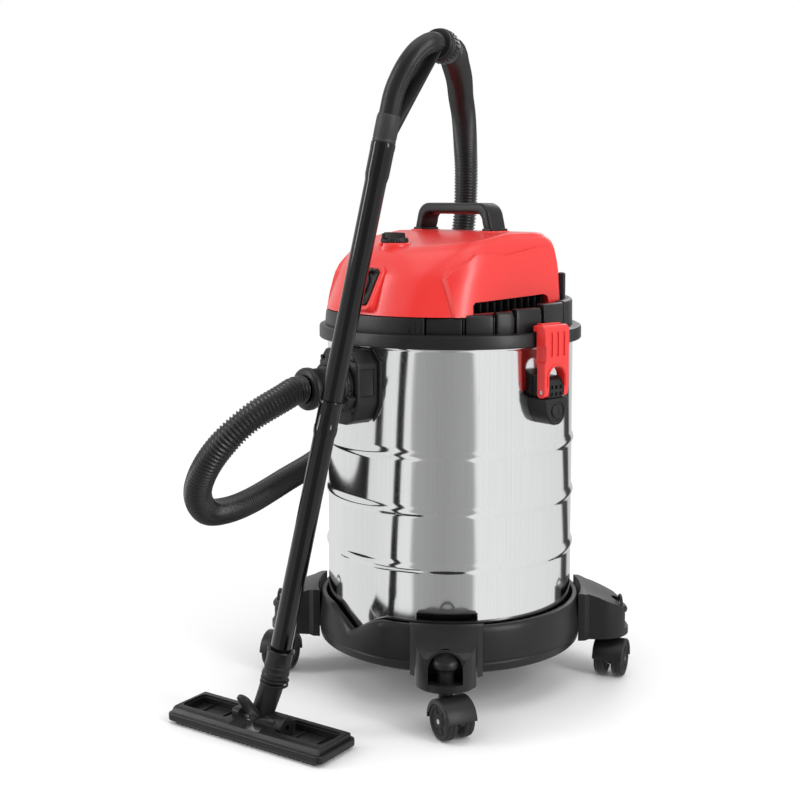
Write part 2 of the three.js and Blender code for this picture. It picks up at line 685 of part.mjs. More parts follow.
// ---------- wand ----------
// The tubes run up from the neck along one straight line; the handle bends back to the hose.
const wandFoot = new THREE.Vector3(33, -304, 104.4);
const wandDirection = new THREE.Vector3(0.143, 0.148, 1).normalize();
const wandTop = wandFoot.clone().addScaledVector(wandDirection, tubeLength * 2 + gap);
const handleBends = [[125, -209, 745], [129.5, -204, 762], [135, -196.5, 779], [139.5, -185, 793.5],
  [142.5, -171, 802]];
const handleEnd = new THREE.Vector3(138.5, -156, 803);
const hoseHeading = new THREE.Vector3(-0.42, 0.89, -0.1).normalize();
const collarLength = 34;

function lowerTube() {
  const bell = tubeLength - spigotLength - 6;
  return turnedRing([
    [tubeRadius - tubeWall, gap], [tubeRadius, gap], [tubeRadius, bell - 4],
    [tubeRadius + bellReach, bell], [tubeRadius + bellReach, tubeLength], [tubeRadius + gap, tubeLength],
    [tubeRadius + gap, bell], [tubeRadius - tubeWall, bell - 4],
  ], 20);
}

function upperTube() {
  const start = tubeLength - spigotLength;
  const end = tubeLength * 2;
  return turnedRing([
    [tubeRadius - tubeWall, start], [tubeRadius, start], [tubeRadius, end - spigotLength - 4],
    [tubeRadius + bellReach, end - spigotLength], [tubeRadius + bellReach, end],
    [tubeRadius - tubeWall, end],
  ], 20);
}

// The sleeve on the handle's lower end, seated on the upper tube.
function handleCuff() {
  const start = tubeLength * 2 + gap;
  return turnedRing([
    [handleRadius + gap, start], [tubeRadius + 1, start], [tubeRadius + 1, start + sleeveLength - 2],
    [tubeRadius + 0.5, start + sleeveLength], [handleRadius + gap, start + sleeveLength],
  ], 20);
}

function handleTube() {
  const straight = [0, 0.5, 1].map((share) =>
    wandTop.clone().addScaledVector(wandDirection, share * (sleeveLength + 4)));
  const curve = new THREE.CatmullRomCurve3([
    ...straight, ...handleBends.map((point) => new THREE.Vector3(...point)),
    handleEnd.clone().addScaledVector(hoseHeading, -4), handleEnd,
  ], false, 'centripetal');
  return pipe(curve, handleRadius, 12, 10, handleRadius - 2);
}

function hoseSwivel() {
  return turnedRing([
    [hoseRadius - 4, gap], [hoseRadius + 1, gap], [hoseRadius + 3, 6], [hoseRadius + 3, collarLength - 8],
    [hoseRadius + 1, collarLength], [hoseRadius - 4, collarLength],
  ], 20);
}

function pointAlong(object, place, heading) {
  object.position.copy(place);
  object.quaternion.setFromUnitVectors(new THREE.Vector3(0, 0, 1), heading);
}

// ---------- floor nozzle ----------
const nozzlePlace = new THREE.Vector3(14, -322, 0);
const nozzleYaw = THREE.MathUtils.degToRad(14);
const pivotLevel = 18;
const barrelRadius = 13;
const barrelLength = 42;
const neckPinRadius = 3;
const bodyBottom = 4;
const footHeight = 9;
const stripHeight = 8;
const stripOffset = nozzleDepth / 2 - 7;

function nozzleBody() {
  const foot = pushed(roundedRect(nozzleLength, nozzleDepth, 6), footHeight).translate(0, 0, bodyBottom);
  const top = pushed(roundedRect(nozzleLength - 8, nozzleDepth - 10, 4), nozzleHeight - footHeight + 1)
    .translate(0, 0, bodyBottom + footHeight - 1);
  const windowLength = nozzleLength / 2 - 50;
  const windows = [-1, 1].map((side) =>
    block(windowLength, nozzleDepth / 2, nozzleHeight, side * (windowLength / 2 + 38), 1,
      bodyBottom + 6));
  const cheekGap = block(barrelLength + 2 * gap + 2, 56, 60, 0, 0, -1);
  const slot = block(nozzleLength - 30, 14, 5, 0, 0, bodyBottom - 1);
  const grooves = [-1, 1].map((side) =>
    block(nozzleLength - 18, 5 + 2 * gap, stripHeight, 0, side * stripOffset, gap));
  const pinRoom = rodAlongX(neckPinRadius + gap, 68, -34, 0, pivotLevel, 16);
  const cheeks = block(70, 24, 24, 0, 0, bodyBottom + 2);
  return cut(join(foot, top, cheeks), ...windows, cheekGap, slot, ...grooves, pinRoom);
}

const strip = (side) => block(nozzleLength - 20, 5, stripHeight, 0, side * stripOffset, 0);
const neckPin = () => rodAlongX(neckPinRadius, 62, -31, 0, pivotLevel, 16);

// The neck bends from the tube's lean down into the nozzle's pivot.
function nozzleNeck() {
  const pivot = nozzlePlace.clone().setZ(pivotLevel);
  const along = (distance) => wandFoot.clone().addScaledVector(wandDirection, distance);
  const onWand = (geometry) => geometry.applyQuaternion(new THREE.Quaternion().setFromUnitVectors(
    new THREE.Vector3(0, 0, 1), wandDirection)).translate(...wandFoot);
  const curve = new THREE.QuadraticBezierCurve3(along(-6), along(-38), pivot);
  const barrel = rodAlongX(barrelRadius, barrelLength, -barrelLength / 2, 0, 0, 16)
    .rotateZ(nozzleYaw).translate(...pivot);
  const duct = pipe(curve, neckRadius - 3, 4, 10);
  const cuff = onWand(rod(neckRadius + 1, 30, 0, 0, -30, 16, neckRadius + 1.5));
  const mouth = onWand(rod(neckRadius - 2.5, 10, 0, 0, -8, 16));
  const pinRoom = rodAlongX(neckPinRadius + gap, 80, -40, 0, 0, 12).rotateZ(nozzleYaw)
    .translate(...pivot);
  const belowBarrel = block(200, 200, 40, pivot.x, pivot.y, pivotLevel - barrelRadius - 40);
  return cut(join(pipe(curve, neckRadius, 4, 10), cuff, barrel), duct, mouth, pinRoom, belowBarrel);
}

function addWand() {
  const wand = new THREE.Group();
  pointAlong(wand, wandFoot, wandDirection);
  shopVacuum.add(wand);
  addPart('lower_tube', 'gloss', lowerTube(), wand);
  addPart('upper_tube', 'gloss', upperTube(), wand);
  addPart('handle_cuff', 'black', handleCuff(), wand);
  addPart('handle_tube', 'black', handleTube());
  pointAlong(addPart('hose_swivel', 'black', hoseSwivel()), handleEnd, hoseHeading);
  addPart('nozzle_neck', 'black', nozzleNeck());
  const nozzle = new THREE.Group();
  nozzle.position.copy(nozzlePlace);
  nozzle.rotation.z = nozzleYaw;
  shopVacuum.add(nozzle);
  addPart('nozzle_body', 'black', nozzleBody(), nozzle);
  addPart('nozzle_strip_front', 'rubber', strip(-1), nozzle);
  addPart('nozzle_strip_rear', 'rubber', strip(1), nozzle);
  addPart('neck_pin', 'grey', neckPin(), nozzle);
}

// ---------- hose ----------
// From the cuff it drops in a wide loop, climbs round the drum's left and rear, and arches back over the head.
const leadLength = 12;           // straight out of the cuff, and into the collar

function hosePoints() {
  const cuffEnd = new THREE.Vector3(0, -cuffStart - cuffLength - gap, inletLevel);
  const collarEnd = handleEnd.clone().addScaledVector(hoseHeading, collarLength + gap);
  const leadOut = cuffEnd.clone().add(new THREE.Vector3(0, -leadLength, 0));
  const leadIn = collarEnd.clone().addScaledVector(hoseHeading, leadLength);
  const free = [
    [1, -272, 394], [-7, -315, 373], [-23, -341, 346], [-48, -351, 313], [-80, -342, 276],
    [-112, -309, 243], [-138, -263, 231], [-158, -212, 231], [-182, -136, 244], [-194, -59, 266],
    [-197, 9, 308], [-190, 64, 363], [-174, 110, 426], [-155, 144, 498], [-137, 158, 577],
    [-122, 150, 656], [-108, 134, 703], [-83, 106, 739], [-43, 61, 763], [12, 4, 779],
    [65, -54, 790],
  ].map((point) => new THREE.Vector3(...point));
  return [cuffEnd, leadOut, ...free, leadIn, collarEnd];
}

const hose = () => pipe(new THREE.CatmullRomCurve3(hosePoints(), false, 'centripetal'),
  hoseRadius, 44, 8);

addPart('drum', 'steel', drum());
addDolly();
addPart('inlet_housing', 'black', inletHousing());
addPart('inlet_connector', 'black', inletConnector());
addPart('hose_cuff', 'black', hoseCuff());
addLatches();
addHead();
addWand();
addPart('hose', 'rubber', hose());

// The frame's origin is under the middle of everything but the hose and its end pieces.
const standing = new THREE.Box3();
shopVacuum.updateMatrixWorld(true);
for (const mesh of shopVacuum.getObjectsByProperty('isMesh', true)) {
  if (!['hose', 'hose_cuff'].includes(mesh.name)) standing.expandByObject(mesh, true);
}
const middle = standing.getCenter(new THREE.Vector3());
for (const child of shopVacuum.children) child.position.sub(new THREE.Vector3(middle.x, middle.y, 0));

export default shopVacuum;
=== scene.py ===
# Shop vacuum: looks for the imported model.
# Shapes are drawn in millimetres about the drum's axis and set down in metres.
import math
import bpy
import bmesh
from mathutils import Matrix, Vector


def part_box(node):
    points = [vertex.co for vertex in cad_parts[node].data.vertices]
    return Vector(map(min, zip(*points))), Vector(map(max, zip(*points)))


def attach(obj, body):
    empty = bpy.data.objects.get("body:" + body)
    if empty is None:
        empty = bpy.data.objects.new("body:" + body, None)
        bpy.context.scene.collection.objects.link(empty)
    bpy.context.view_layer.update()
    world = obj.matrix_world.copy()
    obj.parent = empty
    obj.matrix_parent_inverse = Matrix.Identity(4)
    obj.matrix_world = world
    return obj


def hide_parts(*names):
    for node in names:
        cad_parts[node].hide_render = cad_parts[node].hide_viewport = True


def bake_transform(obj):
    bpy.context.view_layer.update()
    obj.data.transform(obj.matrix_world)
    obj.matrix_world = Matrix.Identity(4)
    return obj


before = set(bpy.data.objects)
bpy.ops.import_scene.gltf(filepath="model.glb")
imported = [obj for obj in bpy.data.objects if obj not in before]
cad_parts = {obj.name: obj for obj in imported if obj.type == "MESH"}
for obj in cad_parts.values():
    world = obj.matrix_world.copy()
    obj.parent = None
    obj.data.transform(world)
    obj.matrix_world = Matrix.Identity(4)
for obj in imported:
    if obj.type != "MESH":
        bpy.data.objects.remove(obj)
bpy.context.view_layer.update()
scene = bpy.context.scene
mm = 0.001
ringLow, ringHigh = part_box("base_ring")
drumAxis = Vector(((ringLow[0] + ringHigh[0]) / 2, (ringLow[1] + ringHigh[1]) / 2, 0))
tau = math.pi * 2

# camera, lights and floor
cameraSetup = {
    "sensorWidth": 36, "imageSide": 800, "clipEnd": 50, "azimuth": 45.96, "distance": 1.7212, "height": 0.63344,
    "pitch": 5.0, "focalPixels": 1315.26, "axisColumn": 450.1, "shiftY": -0.1143,
}


def setCamera(c):
    turn = math.radians(c["azimuth"])
    data = bpy.data.cameras.new("camera")
    data.sensor_width = c["sensorWidth"]
    data.lens = c["focalPixels"] * c["sensorWidth"] / c["imageSide"]
    data.shift_y = c["shiftY"]
    data.clip_end = c["clipEnd"]
    camera = bpy.data.objects.new("camera", data)
    scene.collection.objects.link(camera)
    out = c["distance"]
    camera.location = drumAxis + Vector((out * math.sin(turn), -out * math.cos(turn), c["height"]))
    aside = math.atan((c["axisColumn"] - c["imageSide"] / 2) / c["focalPixels"])
    camera.rotation_euler = (math.radians(90 - c["pitch"]), 0, turn + aside)
    scene.camera = camera


lamps = []
studio = {
    "backdrop": (1.0, 1.0, 1.0), "floorColour": (0.93, 0.93, 0.93), "floorReach": 3.2, "floorRough": 0.55,
    "fade": (0.75, 1.7),   # distance from the middle over which the floor turns into the backdrop, in metres
    # the walls of the studio round the object: share of a turn from -X, and how bright
    "walls": [(0.0, 0.86), (0.16, 0.80), (0.277, 0.90), (0.283, 0.40), (0.36, 0.34), (0.44, 0.40), (0.447, 0.92),
              (0.60, 0.88), (0.745, 0.80), (0.752, 0.06), (0.79, 0.05), (0.80, 0.62), (1.0, 0.86)],
    # place (m), size (m), watts, aim height
    "lamps": {
        "key": ((-1.7, -2.5, 1.5), (0.7, 2.4), 40, 0.4),
        "side": ((2.7, 0.35, 1.4), (0.6, 2.4), 40, 0.4),
        "top": ((0.3, -0.3, 2.6), (2.2, 2.2), 20, 0.3),
        "rear": ((-0.9, 2.6, 1.8), (1.4, 1.4), 16, 0.4),
    },
}


def setWalls(c):
    world = bpy.data.worlds.new("studio")
    scene.world = world
    world.use_nodes = True
    tree = world.node_tree
    back = tree.nodes["Background"]
    where = tree.nodes.new("ShaderNodeTexCoord")
    flat = tree.nodes.new("ShaderNodeMapping")
    flat.inputs["Scale"].default_value = (1, 1, 0)
    around = tree.nodes.new("ShaderNodeTexGradient")
    around.gradient_type = "RADIAL"
    ramp = tree.nodes.new("ShaderNodeValToRGB")
    for i, (place, level) in enumerate(c["walls"]):
        stop = ramp.color_ramp.elements[i] if i < 2 else ramp.color_ramp.elements.new(place)
        stop.position = place
        stop.color = (level, level, level, 1)
    seen = tree.nodes.new("ShaderNodeLightPath")
    pick = tree.nodes.new("ShaderNodeMix")
    pick.data_type = "RGBA"
    pick.inputs[7].default_value = (*c["backdrop"], 1)
    tree.links.new(where.outputs["Generated"], flat.inputs["Vector"])
    tree.links.new(flat.outputs["Vector"], around.inputs["Vector"])
    tree.links.new(around.outputs["Fac"], ramp.inputs["Fac"])
    tree.links.new(ramp.outputs["Color"], pick.inputs[6])
    tree.links.new(seen.outputs["Is Camera Ray"], pick.inputs[0])
    tree.links.new(pick.outputs[2], back.inputs["Color"])


def setLamps(c):
    for name, (place, size, power, aim) in c["lamps"].items():
        data = bpy.data.lights.new(name, "AREA")
        data.shape = "RECTANGLE"
        data.size, data.size_y = size
        data.energy = power
        lamp = bpy.data.objects.new(name, data)
        scene.collection.objects.link(lamp)
        lamp.location = place
        lamps.append(lamp)
        lamp.rotation_euler = (Vector((0, 0, aim)) - Vector(place)).to_track_quat("-Z", "Y").to_euler()


def layFloor(c):
    bm = bmesh.new()
    bmesh.ops.create_circle(bm, cap_ends=True, segments=96, radius=c["floorReach"])
    mesh = bpy.data.meshes.new("floor")
    bm.to_mesh(mesh)
    bm.free()
    floor = bpy.data.objects.new("floor", mesh)
    scene.collection.objects.link(floor)
    paint = bpy.data.materials.new("floor paint")
    paint.use_nodes = True
    tree = paint.node_tree
    shader = tree.nodes["Principled BSDF"]
    shader.inputs["Base Color"].default_value = (*c["floorColour"], 1)
    shader.inputs["Roughness"].default_value = c["floorRough"]
    spot = tree.nodes.new("ShaderNodeTexCoord")
    far = tree.nodes.new("ShaderNodeVectorMath")
    far.operation = "LENGTH"
    fade = tree.nodes.new("ShaderNodeMapRange")
    fade.interpolation_type = "SMOOTHSTEP"
    fade.inputs["From Min"].default_value, fade.inputs["From Max"].default_value = c["fade"]
    glow = tree.nodes.new("ShaderNodeEmission")
    glow.inputs["Color"].default_value = (*c["backdrop"], 1)
    both = tree.nodes.new("ShaderNodeMixShader")
    tree.links.new(spot.outputs["Object"], far.inputs[0])
    tree.links.new(far.outputs["Value"], fade.inputs["Value"])
    tree.links.new(fade.outputs["Result"], both.inputs["Fac"])
    tree.links.new(shader.outputs[0], both.inputs[1])
    tree.links.new(glow.outputs[0], both.inputs[2])
    tree.links.new(both.outputs[0], tree.nodes["Material Output"].inputs["Surface"])
    mesh.materials.append(paint)
    floor.visible_glossy = False


setCamera(cameraSetup)
setWalls(studio)
setLamps(studio)
layFloor(studio)
scene.view_settings.view_transform = "Standard"
print("camera and studio set")


# effects that several finishes share
def addNode(tree, kind, place=(0, 0), **values):
    node = tree.nodes.new(kind)
    node.location = place
    for key, value in values.items():
        if hasattr(node, key) and key not in node.inputs:
            setattr(node, key, value)
        else:
            node.inputs[key.replace("_", " ")].default_value = value
    return node


def newGroup(name, ins, outs):
    tree = bpy.data.node_groups.new(name, "ShaderNodeTree")
    for label, kind, value in ins:
        socket = tree.interface.new_socket(label, in_out="INPUT", socket_type=kind)
        if value is not None:
            socket.default_value = value
    for label, kind in outs:
        tree.interface.new_socket(label, in_out="OUTPUT", socket_type=kind)
    return tree, tree.nodes.new("NodeGroupInput"), tree.nodes.new("NodeGroupOutput")


def grainGroup():
    tree, into, out = newGroup(
        "moulded grain", [("Vector", "NodeSocketVector", None), ("Scale", "NodeSocketFloat", 900.0)],
        [("Height", "NodeSocketFloat"), ("Mask", "NodeSocketFloat")])
    cells = addNode(tree, "ShaderNodeTexVoronoi", (-200, 120), feature="SMOOTH_F1", Smoothness=0.4)
    cloud = addNode(tree, "ShaderNodeTexNoise", (-200, -160), Detail=3.0, Roughness=0.6)
    blend = addNode(tree, "ShaderNodeMath", (40, 0), operation="ADD")
    soft = addNode(tree, "ShaderNodeTexNoise", (-200, -420), Scale=14.0, Detail=4.0)
    link = tree.links.new
    for texture in (cells, cloud):
        link(into.outputs["Vector"], texture.inputs["Vector"])
        link(into.outputs["Scale"], texture.inputs["Scale"])
    link(into.outputs["Vector"], soft.inputs["Vector"])
    link(cells.outputs["Distance"], blend.inputs[0])
    link(cloud.outputs["Fac"], blend.inputs[1])
    link(blend.outputs[0], out.inputs["Height"])
    link(soft.outputs["Fac"], out.inputs["Mask"])
    return tree


def dustGroup():
    tree, into, out = newGroup(
        "settled dust", [("Vector", "NodeSocketVector", None), ("Amount", "NodeSocketFloat", 0.2)],
        [("Mask", "NodeSocketFloat")])
    shape = addNode(tree, "ShaderNodeNewGeometry", (-500, 100))
    split = addNode(tree, "ShaderNodeSeparateXYZ", (-320, 100))
    facing = addNode(tree, "ShaderNodeMapRange", (-140, 100), From_Min=0.35, From_Max=1.0)
    cloud = addNode(tree, "ShaderNodeTexNoise", (-320, -120), Scale=38.0, Detail=6.0, Roughness=0.7)
    patches = addNode(tree, "ShaderNodeMapRange", (-140, -120), From_Min=0.42, From_Max=0.72)
    both = addNode(tree, "ShaderNodeMath", (60, 0), operation="MULTIPLY")
    share = addNode(tree, "ShaderNodeMath", (220, 0), operation="MULTIPLY")
    link = tree.links.new
    link(shape.outputs["Normal"], split.inputs[0])
    link(split.outputs["Z"], facing.inputs["Value"])
    link(into.outputs["Vector"], cloud.inputs["Vector"])
    link(cloud.outputs["Fac"], patches.inputs["Value"])
    link(facing.outputs["Result"], both.inputs[0])
    link(patches.outputs["Result"], both.inputs[1])
    link(both.outputs[0], share.inputs[0])
    link(into.outputs["Amount"], share.inputs[1])
    link(share.outputs[0], out.inputs["Mask"])
    return tree


def scuffGroup():
    tree, into, out = newGroup(
        "fine scuffs", [("Vector", "NodeSocketVector", None), ("Scale", "NodeSocketFloat", 60.0)],
        [("Mask", "NodeSocketFloat")])
    bend = addNode(tree, "ShaderNodeTexNoise", (-520, -120), Scale=9.0, Detail=2.0)
    shove = addNode(tree, "ShaderNodeVectorMath", (-340, 0), operation="MULTIPLY_ADD")
    shove.inputs[1].default_value = (0.06, 0.06, 0.06)
    lines = addNode(tree, "ShaderNodeTexVoronoi", (-160, 0), feature="DISTANCE_TO_EDGE")
    thin = addNode(tree, "ShaderNodeMapRange", (20, 0), From_Min=0.0, From_Max=0.018, To_Min=1.0, To_Max=0.0)
    patch = addNode(tree, "ShaderNodeTexNoise", (-160, -260), Scale=22.0, Detail=3.0)
    few = addNode(tree, "ShaderNodeMapRange", (20, -260), From_Min=0.55, From_Max=0.7)
    both = addNode(tree, "ShaderNodeMath", (200, 0), operation="MULTIPLY")
    link = tree.links.new
    link(into.outputs["Vector"], bend.inputs["Vector"])
    link(into.outputs["Vector"], patch.inputs["Vector"])
    link(bend.outputs["Color"], shove.inputs[0])
    link(into.outputs["Vector"], shove.inputs[2])
    link(shove.outputs[0], lines.inputs["Vector"])
    link(into.outputs["Scale"], lines.inputs["Scale"])
    link(lines.outputs["Distance"], thin.inputs["Value"])
    link(patch.outputs["Fac"], few.inputs["Value"])
    link(thin.outputs["Result"], both.inputs[0])
    link(few.outputs["Result"], both.inputs[1])
    link(both.outputs[0], out.inputs["Mask"])
    return tree


mouldedGrain, settledDust, fineScuffs = grainGroup(), dustGroup(), scuffGroup()


def startMaterial(name):
    material = bpy.data.materials.new(name)
    material.use_nodes = True
    tree = material.node_tree
    shader = tree.nodes["Principled BSDF"]
    where = addNode(tree, "ShaderNodeTexCoord", (-1200, 0))
    return material, tree, shader, where.outputs["Object"]


def useGroup(tree, group, where, place, **values):
    node = tree.nodes.new("ShaderNodeGroup")
    node.node_tree = group
    node.location = place
    for key, value in values.items():
        node.inputs[key].default_value = value
    tree.links.new(where, node.inputs["Vector"])
    return node


def mixColour(tree, mask, first, second, place):
    node = addNode(tree, "ShaderNodeMix", place, data_type="RGBA")
    for socket, colour in ((node.inputs[6], first), (node.inputs[7], second)):
        if hasattr(colour, "links"):
            tree.links.new(colour, socket)
        else:
            socket.default_value = (*colour, 1)
    tree.links.new(mask, node.inputs[0])
    return node.outputs[2]


def mapTo(tree, value, low, high, place, fromLow=0.0, fromHigh=1.0):
    node = addNode(tree, "ShaderNodeMapRange", place, From_Min=fromLow, From_Max=fromHigh, To_Min=low, To_Max=high)
    tree.links.new(value, node.inputs["Value"])
    return node.outputs["Result"]


def bumpFrom(tree, shader, height, strength, distance, place=(-260, -420)):
    node = addNode(tree, "ShaderNodeBump", place, Strength=strength, Distance=distance)
    tree.links.new(height, node.inputs["Height"])
    tree.links.new(node.outputs["Normal"], shader.inputs["Normal"])


# colour, its darker shade, roughness from and to, grain per metre and its bump, dust, clear coat, gloss level
plastics = {
    "black moulding": {"colour": (0.0115, 0.0115, 0.012), "shade": (0.008, 0.008, 0.008), "rough": (0.30, 0.42),
                       "grain": 1500.0, "bump": 0.10, "dust": 0.02, "coat": 0.0, "level": 0.3},
    "black gloss": {"colour": (0.003, 0.003, 0.0032), "shade": (0.002, 0.002, 0.002), "rough": (0.09, 0.14),
                    "grain": 500.0, "bump": 0.006, "dust": 0.008, "coat": 0.12, "level": 0.32},
    "sleeve grey": {"colour": (0.030, 0.030, 0.031), "shade": (0.020, 0.020, 0.021), "rough": (0.42, 0.55),
                    "grain": 1300.0, "bump": 0.16, "dust": 0.04, "coat": 0.0, "level": 0.4},
    "red moulding": {"colour": (0.76, 0.030, 0.026), "shade": (0.68, 0.022, 0.019), "rough": (0.30, 0.40),
                     "grain": 1100.0, "bump": 0.07, "dust": 0.03, "coat": 0.15, "level": 0.5},
    # a darker copy of the red moulding: painted shade, for the pad under the carry handle's grip and the sills in the
    # vents
    "red moulding with painted shade": {"colour": (0.30, 0.008, 0.007), "shade": (0.2, 0.006, 0.005), "rough": (0.45, 0.6),
                          "grain": 1100.0, "bump": 0.14, "dust": 0.05, "coat": 0.0, "level": 0.4},
    "white moulding": {"colour": (0.66, 0.67, 0.66), "shade": (0.56, 0.57, 0.55), "rough": (0.38, 0.5),
                       "grain": 1000.0, "bump": 0.1, "dust": 0.18, "coat": 0.0, "level": 0.45},
    "rubber": {"colour": (0.010, 0.010, 0.010), "shade": (0.017, 0.017, 0.016), "rough": (0.5, 0.68),
               "grain": 900.0, "bump": 0.22, "dust": 0.12, "coat": 0.0, "level": 0.3},
}


def plasticFinish(name, c):
    material, tree, shader, where = startMaterial(name)
    grain = useGroup(tree, mouldedGrain, where, (-900, -320), Scale=c["grain"])
    dust = useGroup(tree, settledDust, where, (-900, 200), Amount=c["dust"])
    scuffs = useGroup(tree, fineScuffs, where, (-900, 0), Scale=70.0)
    body = mixColour(tree, grain.outputs["Mask"], c["colour"], c["shade"], (-620, 300))
    worn = tuple(min(1, part * 1.4 + 0.006) for part in c["colour"])
    marked = mixColour(tree, mapTo(tree, scuffs.outputs["Mask"], 0, 0.35, (-700, 60)), body, worn, (-420, 300))
    dusty = mixColour(tree, dust.outputs["Mask"], marked, (0.36, 0.34, 0.31), (-220, 300))
    tree.links.new(dusty, shader.inputs["Base Color"])
    rough = mapTo(tree, grain.outputs["Mask"], c["rough"][0], c["rough"][1], (-620, -60), 0.3, 0.7)
    more = addNode(tree, "ShaderNodeMath", (-420, -60), operation="ADD")
    tree.links.new(rough, more.inputs[0])
    tree.links.new(mapTo(tree, scuffs.outputs["Mask"], 0, 0.18, (-620, -200)), more.inputs[1])
    tree.links.new(more.outputs[0], shader.inputs["Roughness"])
    shader.inputs["Specular IOR Level"].default_value = c["level"]
    shader.inputs["Coat Weight"].default_value = c["coat"]
    shader.inputs["Coat Roughness"].default_value = 0.12
    bumpFrom(tree, shader, grain.outputs["Height"], c["bump"], 0.0004)
    return material


# colour, darker streak, roughness, how far the streaks are drawn out along X, Y and Z
metals = {
    "drum steel": {"colour": (0.84, 0.845, 0.85), "streak": (0.78, 0.785, 0.79), "rough": (0.07, 0.13),
                   "stretch": (700, 700, 5), "bump": 0.012},
    "turned metal": {"colour": (0.62, 0.62, 0.63), "streak": (0.5, 0.5, 0.51), "rough": (0.24, 0.38),
                     "stretch": (60, 60, 1500), "bump": 0.1},
    "laminated can": {"colour": (0.30, 0.30, 0.31), "streak": (0.16, 0.16, 0.17), "rough": (0.4, 0.55),
                      "stretch": (8, 8, 1400), "bump": 0.35},
}


def metalFinish(name, c):
    material, tree, shader, where = startMaterial(name)
    stretch = addNode(tree, "ShaderNodeMapping", (-980, 0), Scale=c["stretch"])
    tree.links.new(where, stretch.inputs["Vector"])
    streaks = addNode(tree, "ShaderNodeTexNoise", (-780, 0), Scale=1.0, Detail=4.0, Roughness=0.65)
    tree.links.new(stretch.outputs["Vector"], streaks.inputs["Vector"])
    haze = addNode(tree, "ShaderNodeTexNoise", (-780, -260), Scale=7.0, Detail=3.0)
    tree.links.new(where, haze.inputs["Vector"])
    scuffs = useGroup(tree, fineScuffs, where, (-780, 260), Scale=45.0)
    body = mixColour(tree, mapTo(tree, streaks.outputs["Fac"], 0, 1, (-560, 120), 0.35, 0.7),
                     c["colour"], c["streak"], (-340, 200))
    tree.links.new(body, shader.inputs["Base Color"])
    rough = mapTo(tree, haze.outputs["Fac"], c["rough"][0], c["rough"][1], (-560, -120), 0.3, 0.7)
    more = addNode(tree, "ShaderNodeMath", (-340, -80), operation="ADD")
    tree.links.new(rough, more.inputs[0])
    tree.links.new(mapTo(tree, scuffs.outputs["Mask"], 0, 0.12, (-560, 320)), more.inputs[1])
    tree.links.new(more.outputs[0], shader.inputs["Roughness"])
    shader.inputs["Metallic"].default_value = 1.0
    bumpFrom(tree, shader, streaks.outputs["Fac"], c["bump"], 0.0003)
    return material


def paperFinish():
    material, tree, shader, where = startMaterial("filter paper")
    fibre = addNode(tree, "ShaderNodeTexNoise", (-780, 0), Scale=420.0, Detail=6.0, Roughness=0.75)
    stain = addNode(tree, "ShaderNodeTexNoise", (-780, -260), Scale=16.0, Detail=5.0)
    for texture in (fibre, stain):
        tree.links.new(where, texture.inputs["Vector"])
    pale = mixColour(tree, fibre.outputs["Fac"], (0.88, 0.85, 0.75), (0.78, 0.74, 0.63), (-460, 200))
    used = mapTo(tree, stain.outputs["Fac"], 0, 0.55, (-560, -200), 0.45, 0.8)
    tree.links.new(mixColour(tree, used, pale, (0.5, 0.47, 0.41), (-260, 200)), shader.inputs["Base Color"])
    tree.links.new(mapTo(tree, fibre.outputs["Fac"], 0.8, 0.95, (-460, -60)), shader.inputs["Roughness"])
    bumpFrom(tree, shader, fibre.outputs["Fac"], 0.35, 0.0004)
    return material


def hoseFinish():
    material, tree, shader, where = startMaterial("hose black")
    groove = addNode(tree, "ShaderNodeAttribute", (-1000, 240), attribute_name="groove")
    grain = useGroup(tree, mouldedGrain, where, (-1000, -100), Scale=800.0)
    dust = addNode(tree, "ShaderNodeTexNoise", (-1000, 440), Scale=30.0, Detail=5.0)
    tree.links.new(where, dust.inputs["Vector"])
    both = addNode(tree, "ShaderNodeMath", (-760, 300), operation="MULTIPLY")
    tree.links.new(groove.outputs["Fac"], both.inputs[0])
    tree.links.new(mapTo(tree, dust.outputs["Fac"], 0, 0.5, (-880, 560), 0.4, 0.75), both.inputs[1])
    body = mixColour(tree, grain.outputs["Mask"], (0.007, 0.007, 0.0075), (0.0045, 0.0045, 0.0045), (-620, 60))
    tree.links.new(mixColour(tree, both.outputs[0], body, (0.022, 0.021, 0.020), (-380, 200)),
                   shader.inputs["Base Color"])
    tree.links.new(mapTo(tree, groove.outputs["Fac"], 0.22, 0.5, (-620, -160)), shader.inputs["Roughness"])
    shader.inputs["Specular IOR Level"].default_value = 0.5
    bumpFrom(tree, shader, grain.outputs["Height"], 0.08, 0.0003)
    return material


finish = {name: plasticFinish(name, values) for name, values in plastics.items()}
finish.update({name: metalFinish(name, values) for name, values in metals.items()})
finish["filter paper"] = paperFinish()
finish["hose black"] = hoseFinish()
print("finishes made:", len(finish))


# modelling helpers, in millimetres
def turned(profile, steps=96, closed=False, start=0.0, sweep=360.0):
    bm = bmesh.new()
    points = [bm.verts.new((r, 0, z)) for r, z in profile]
    edges = [bm.edges.new(pair) for pair in zip(points, points[1:])]
    if closed:
        edges.append(bm.edges.new((points[-1], points[0])))
    bmesh.ops.rotate(bm, cent=(0, 0, 0), matrix=Matrix.Rotation(math.radians(start), 3, "Z"), verts=bm.verts)
    whole = sweep >= 359.9
    bmesh.ops.spin(bm, geom=points + edges, cent=(0, 0, 0), axis=(0, 0, 1), angle=math.radians(sweep),
                   steps=steps, use_merge=whole)
    bmesh.ops.remove_doubles(bm, verts=bm.verts, dist=0.001)
    if not whole:
        bmesh.ops.holes_fill(bm, edges=[edge for edge in bm.edges if edge.is_boundary])
    bmesh.ops.recalc_face_normals(bm, faces=bm.faces)
    return bm


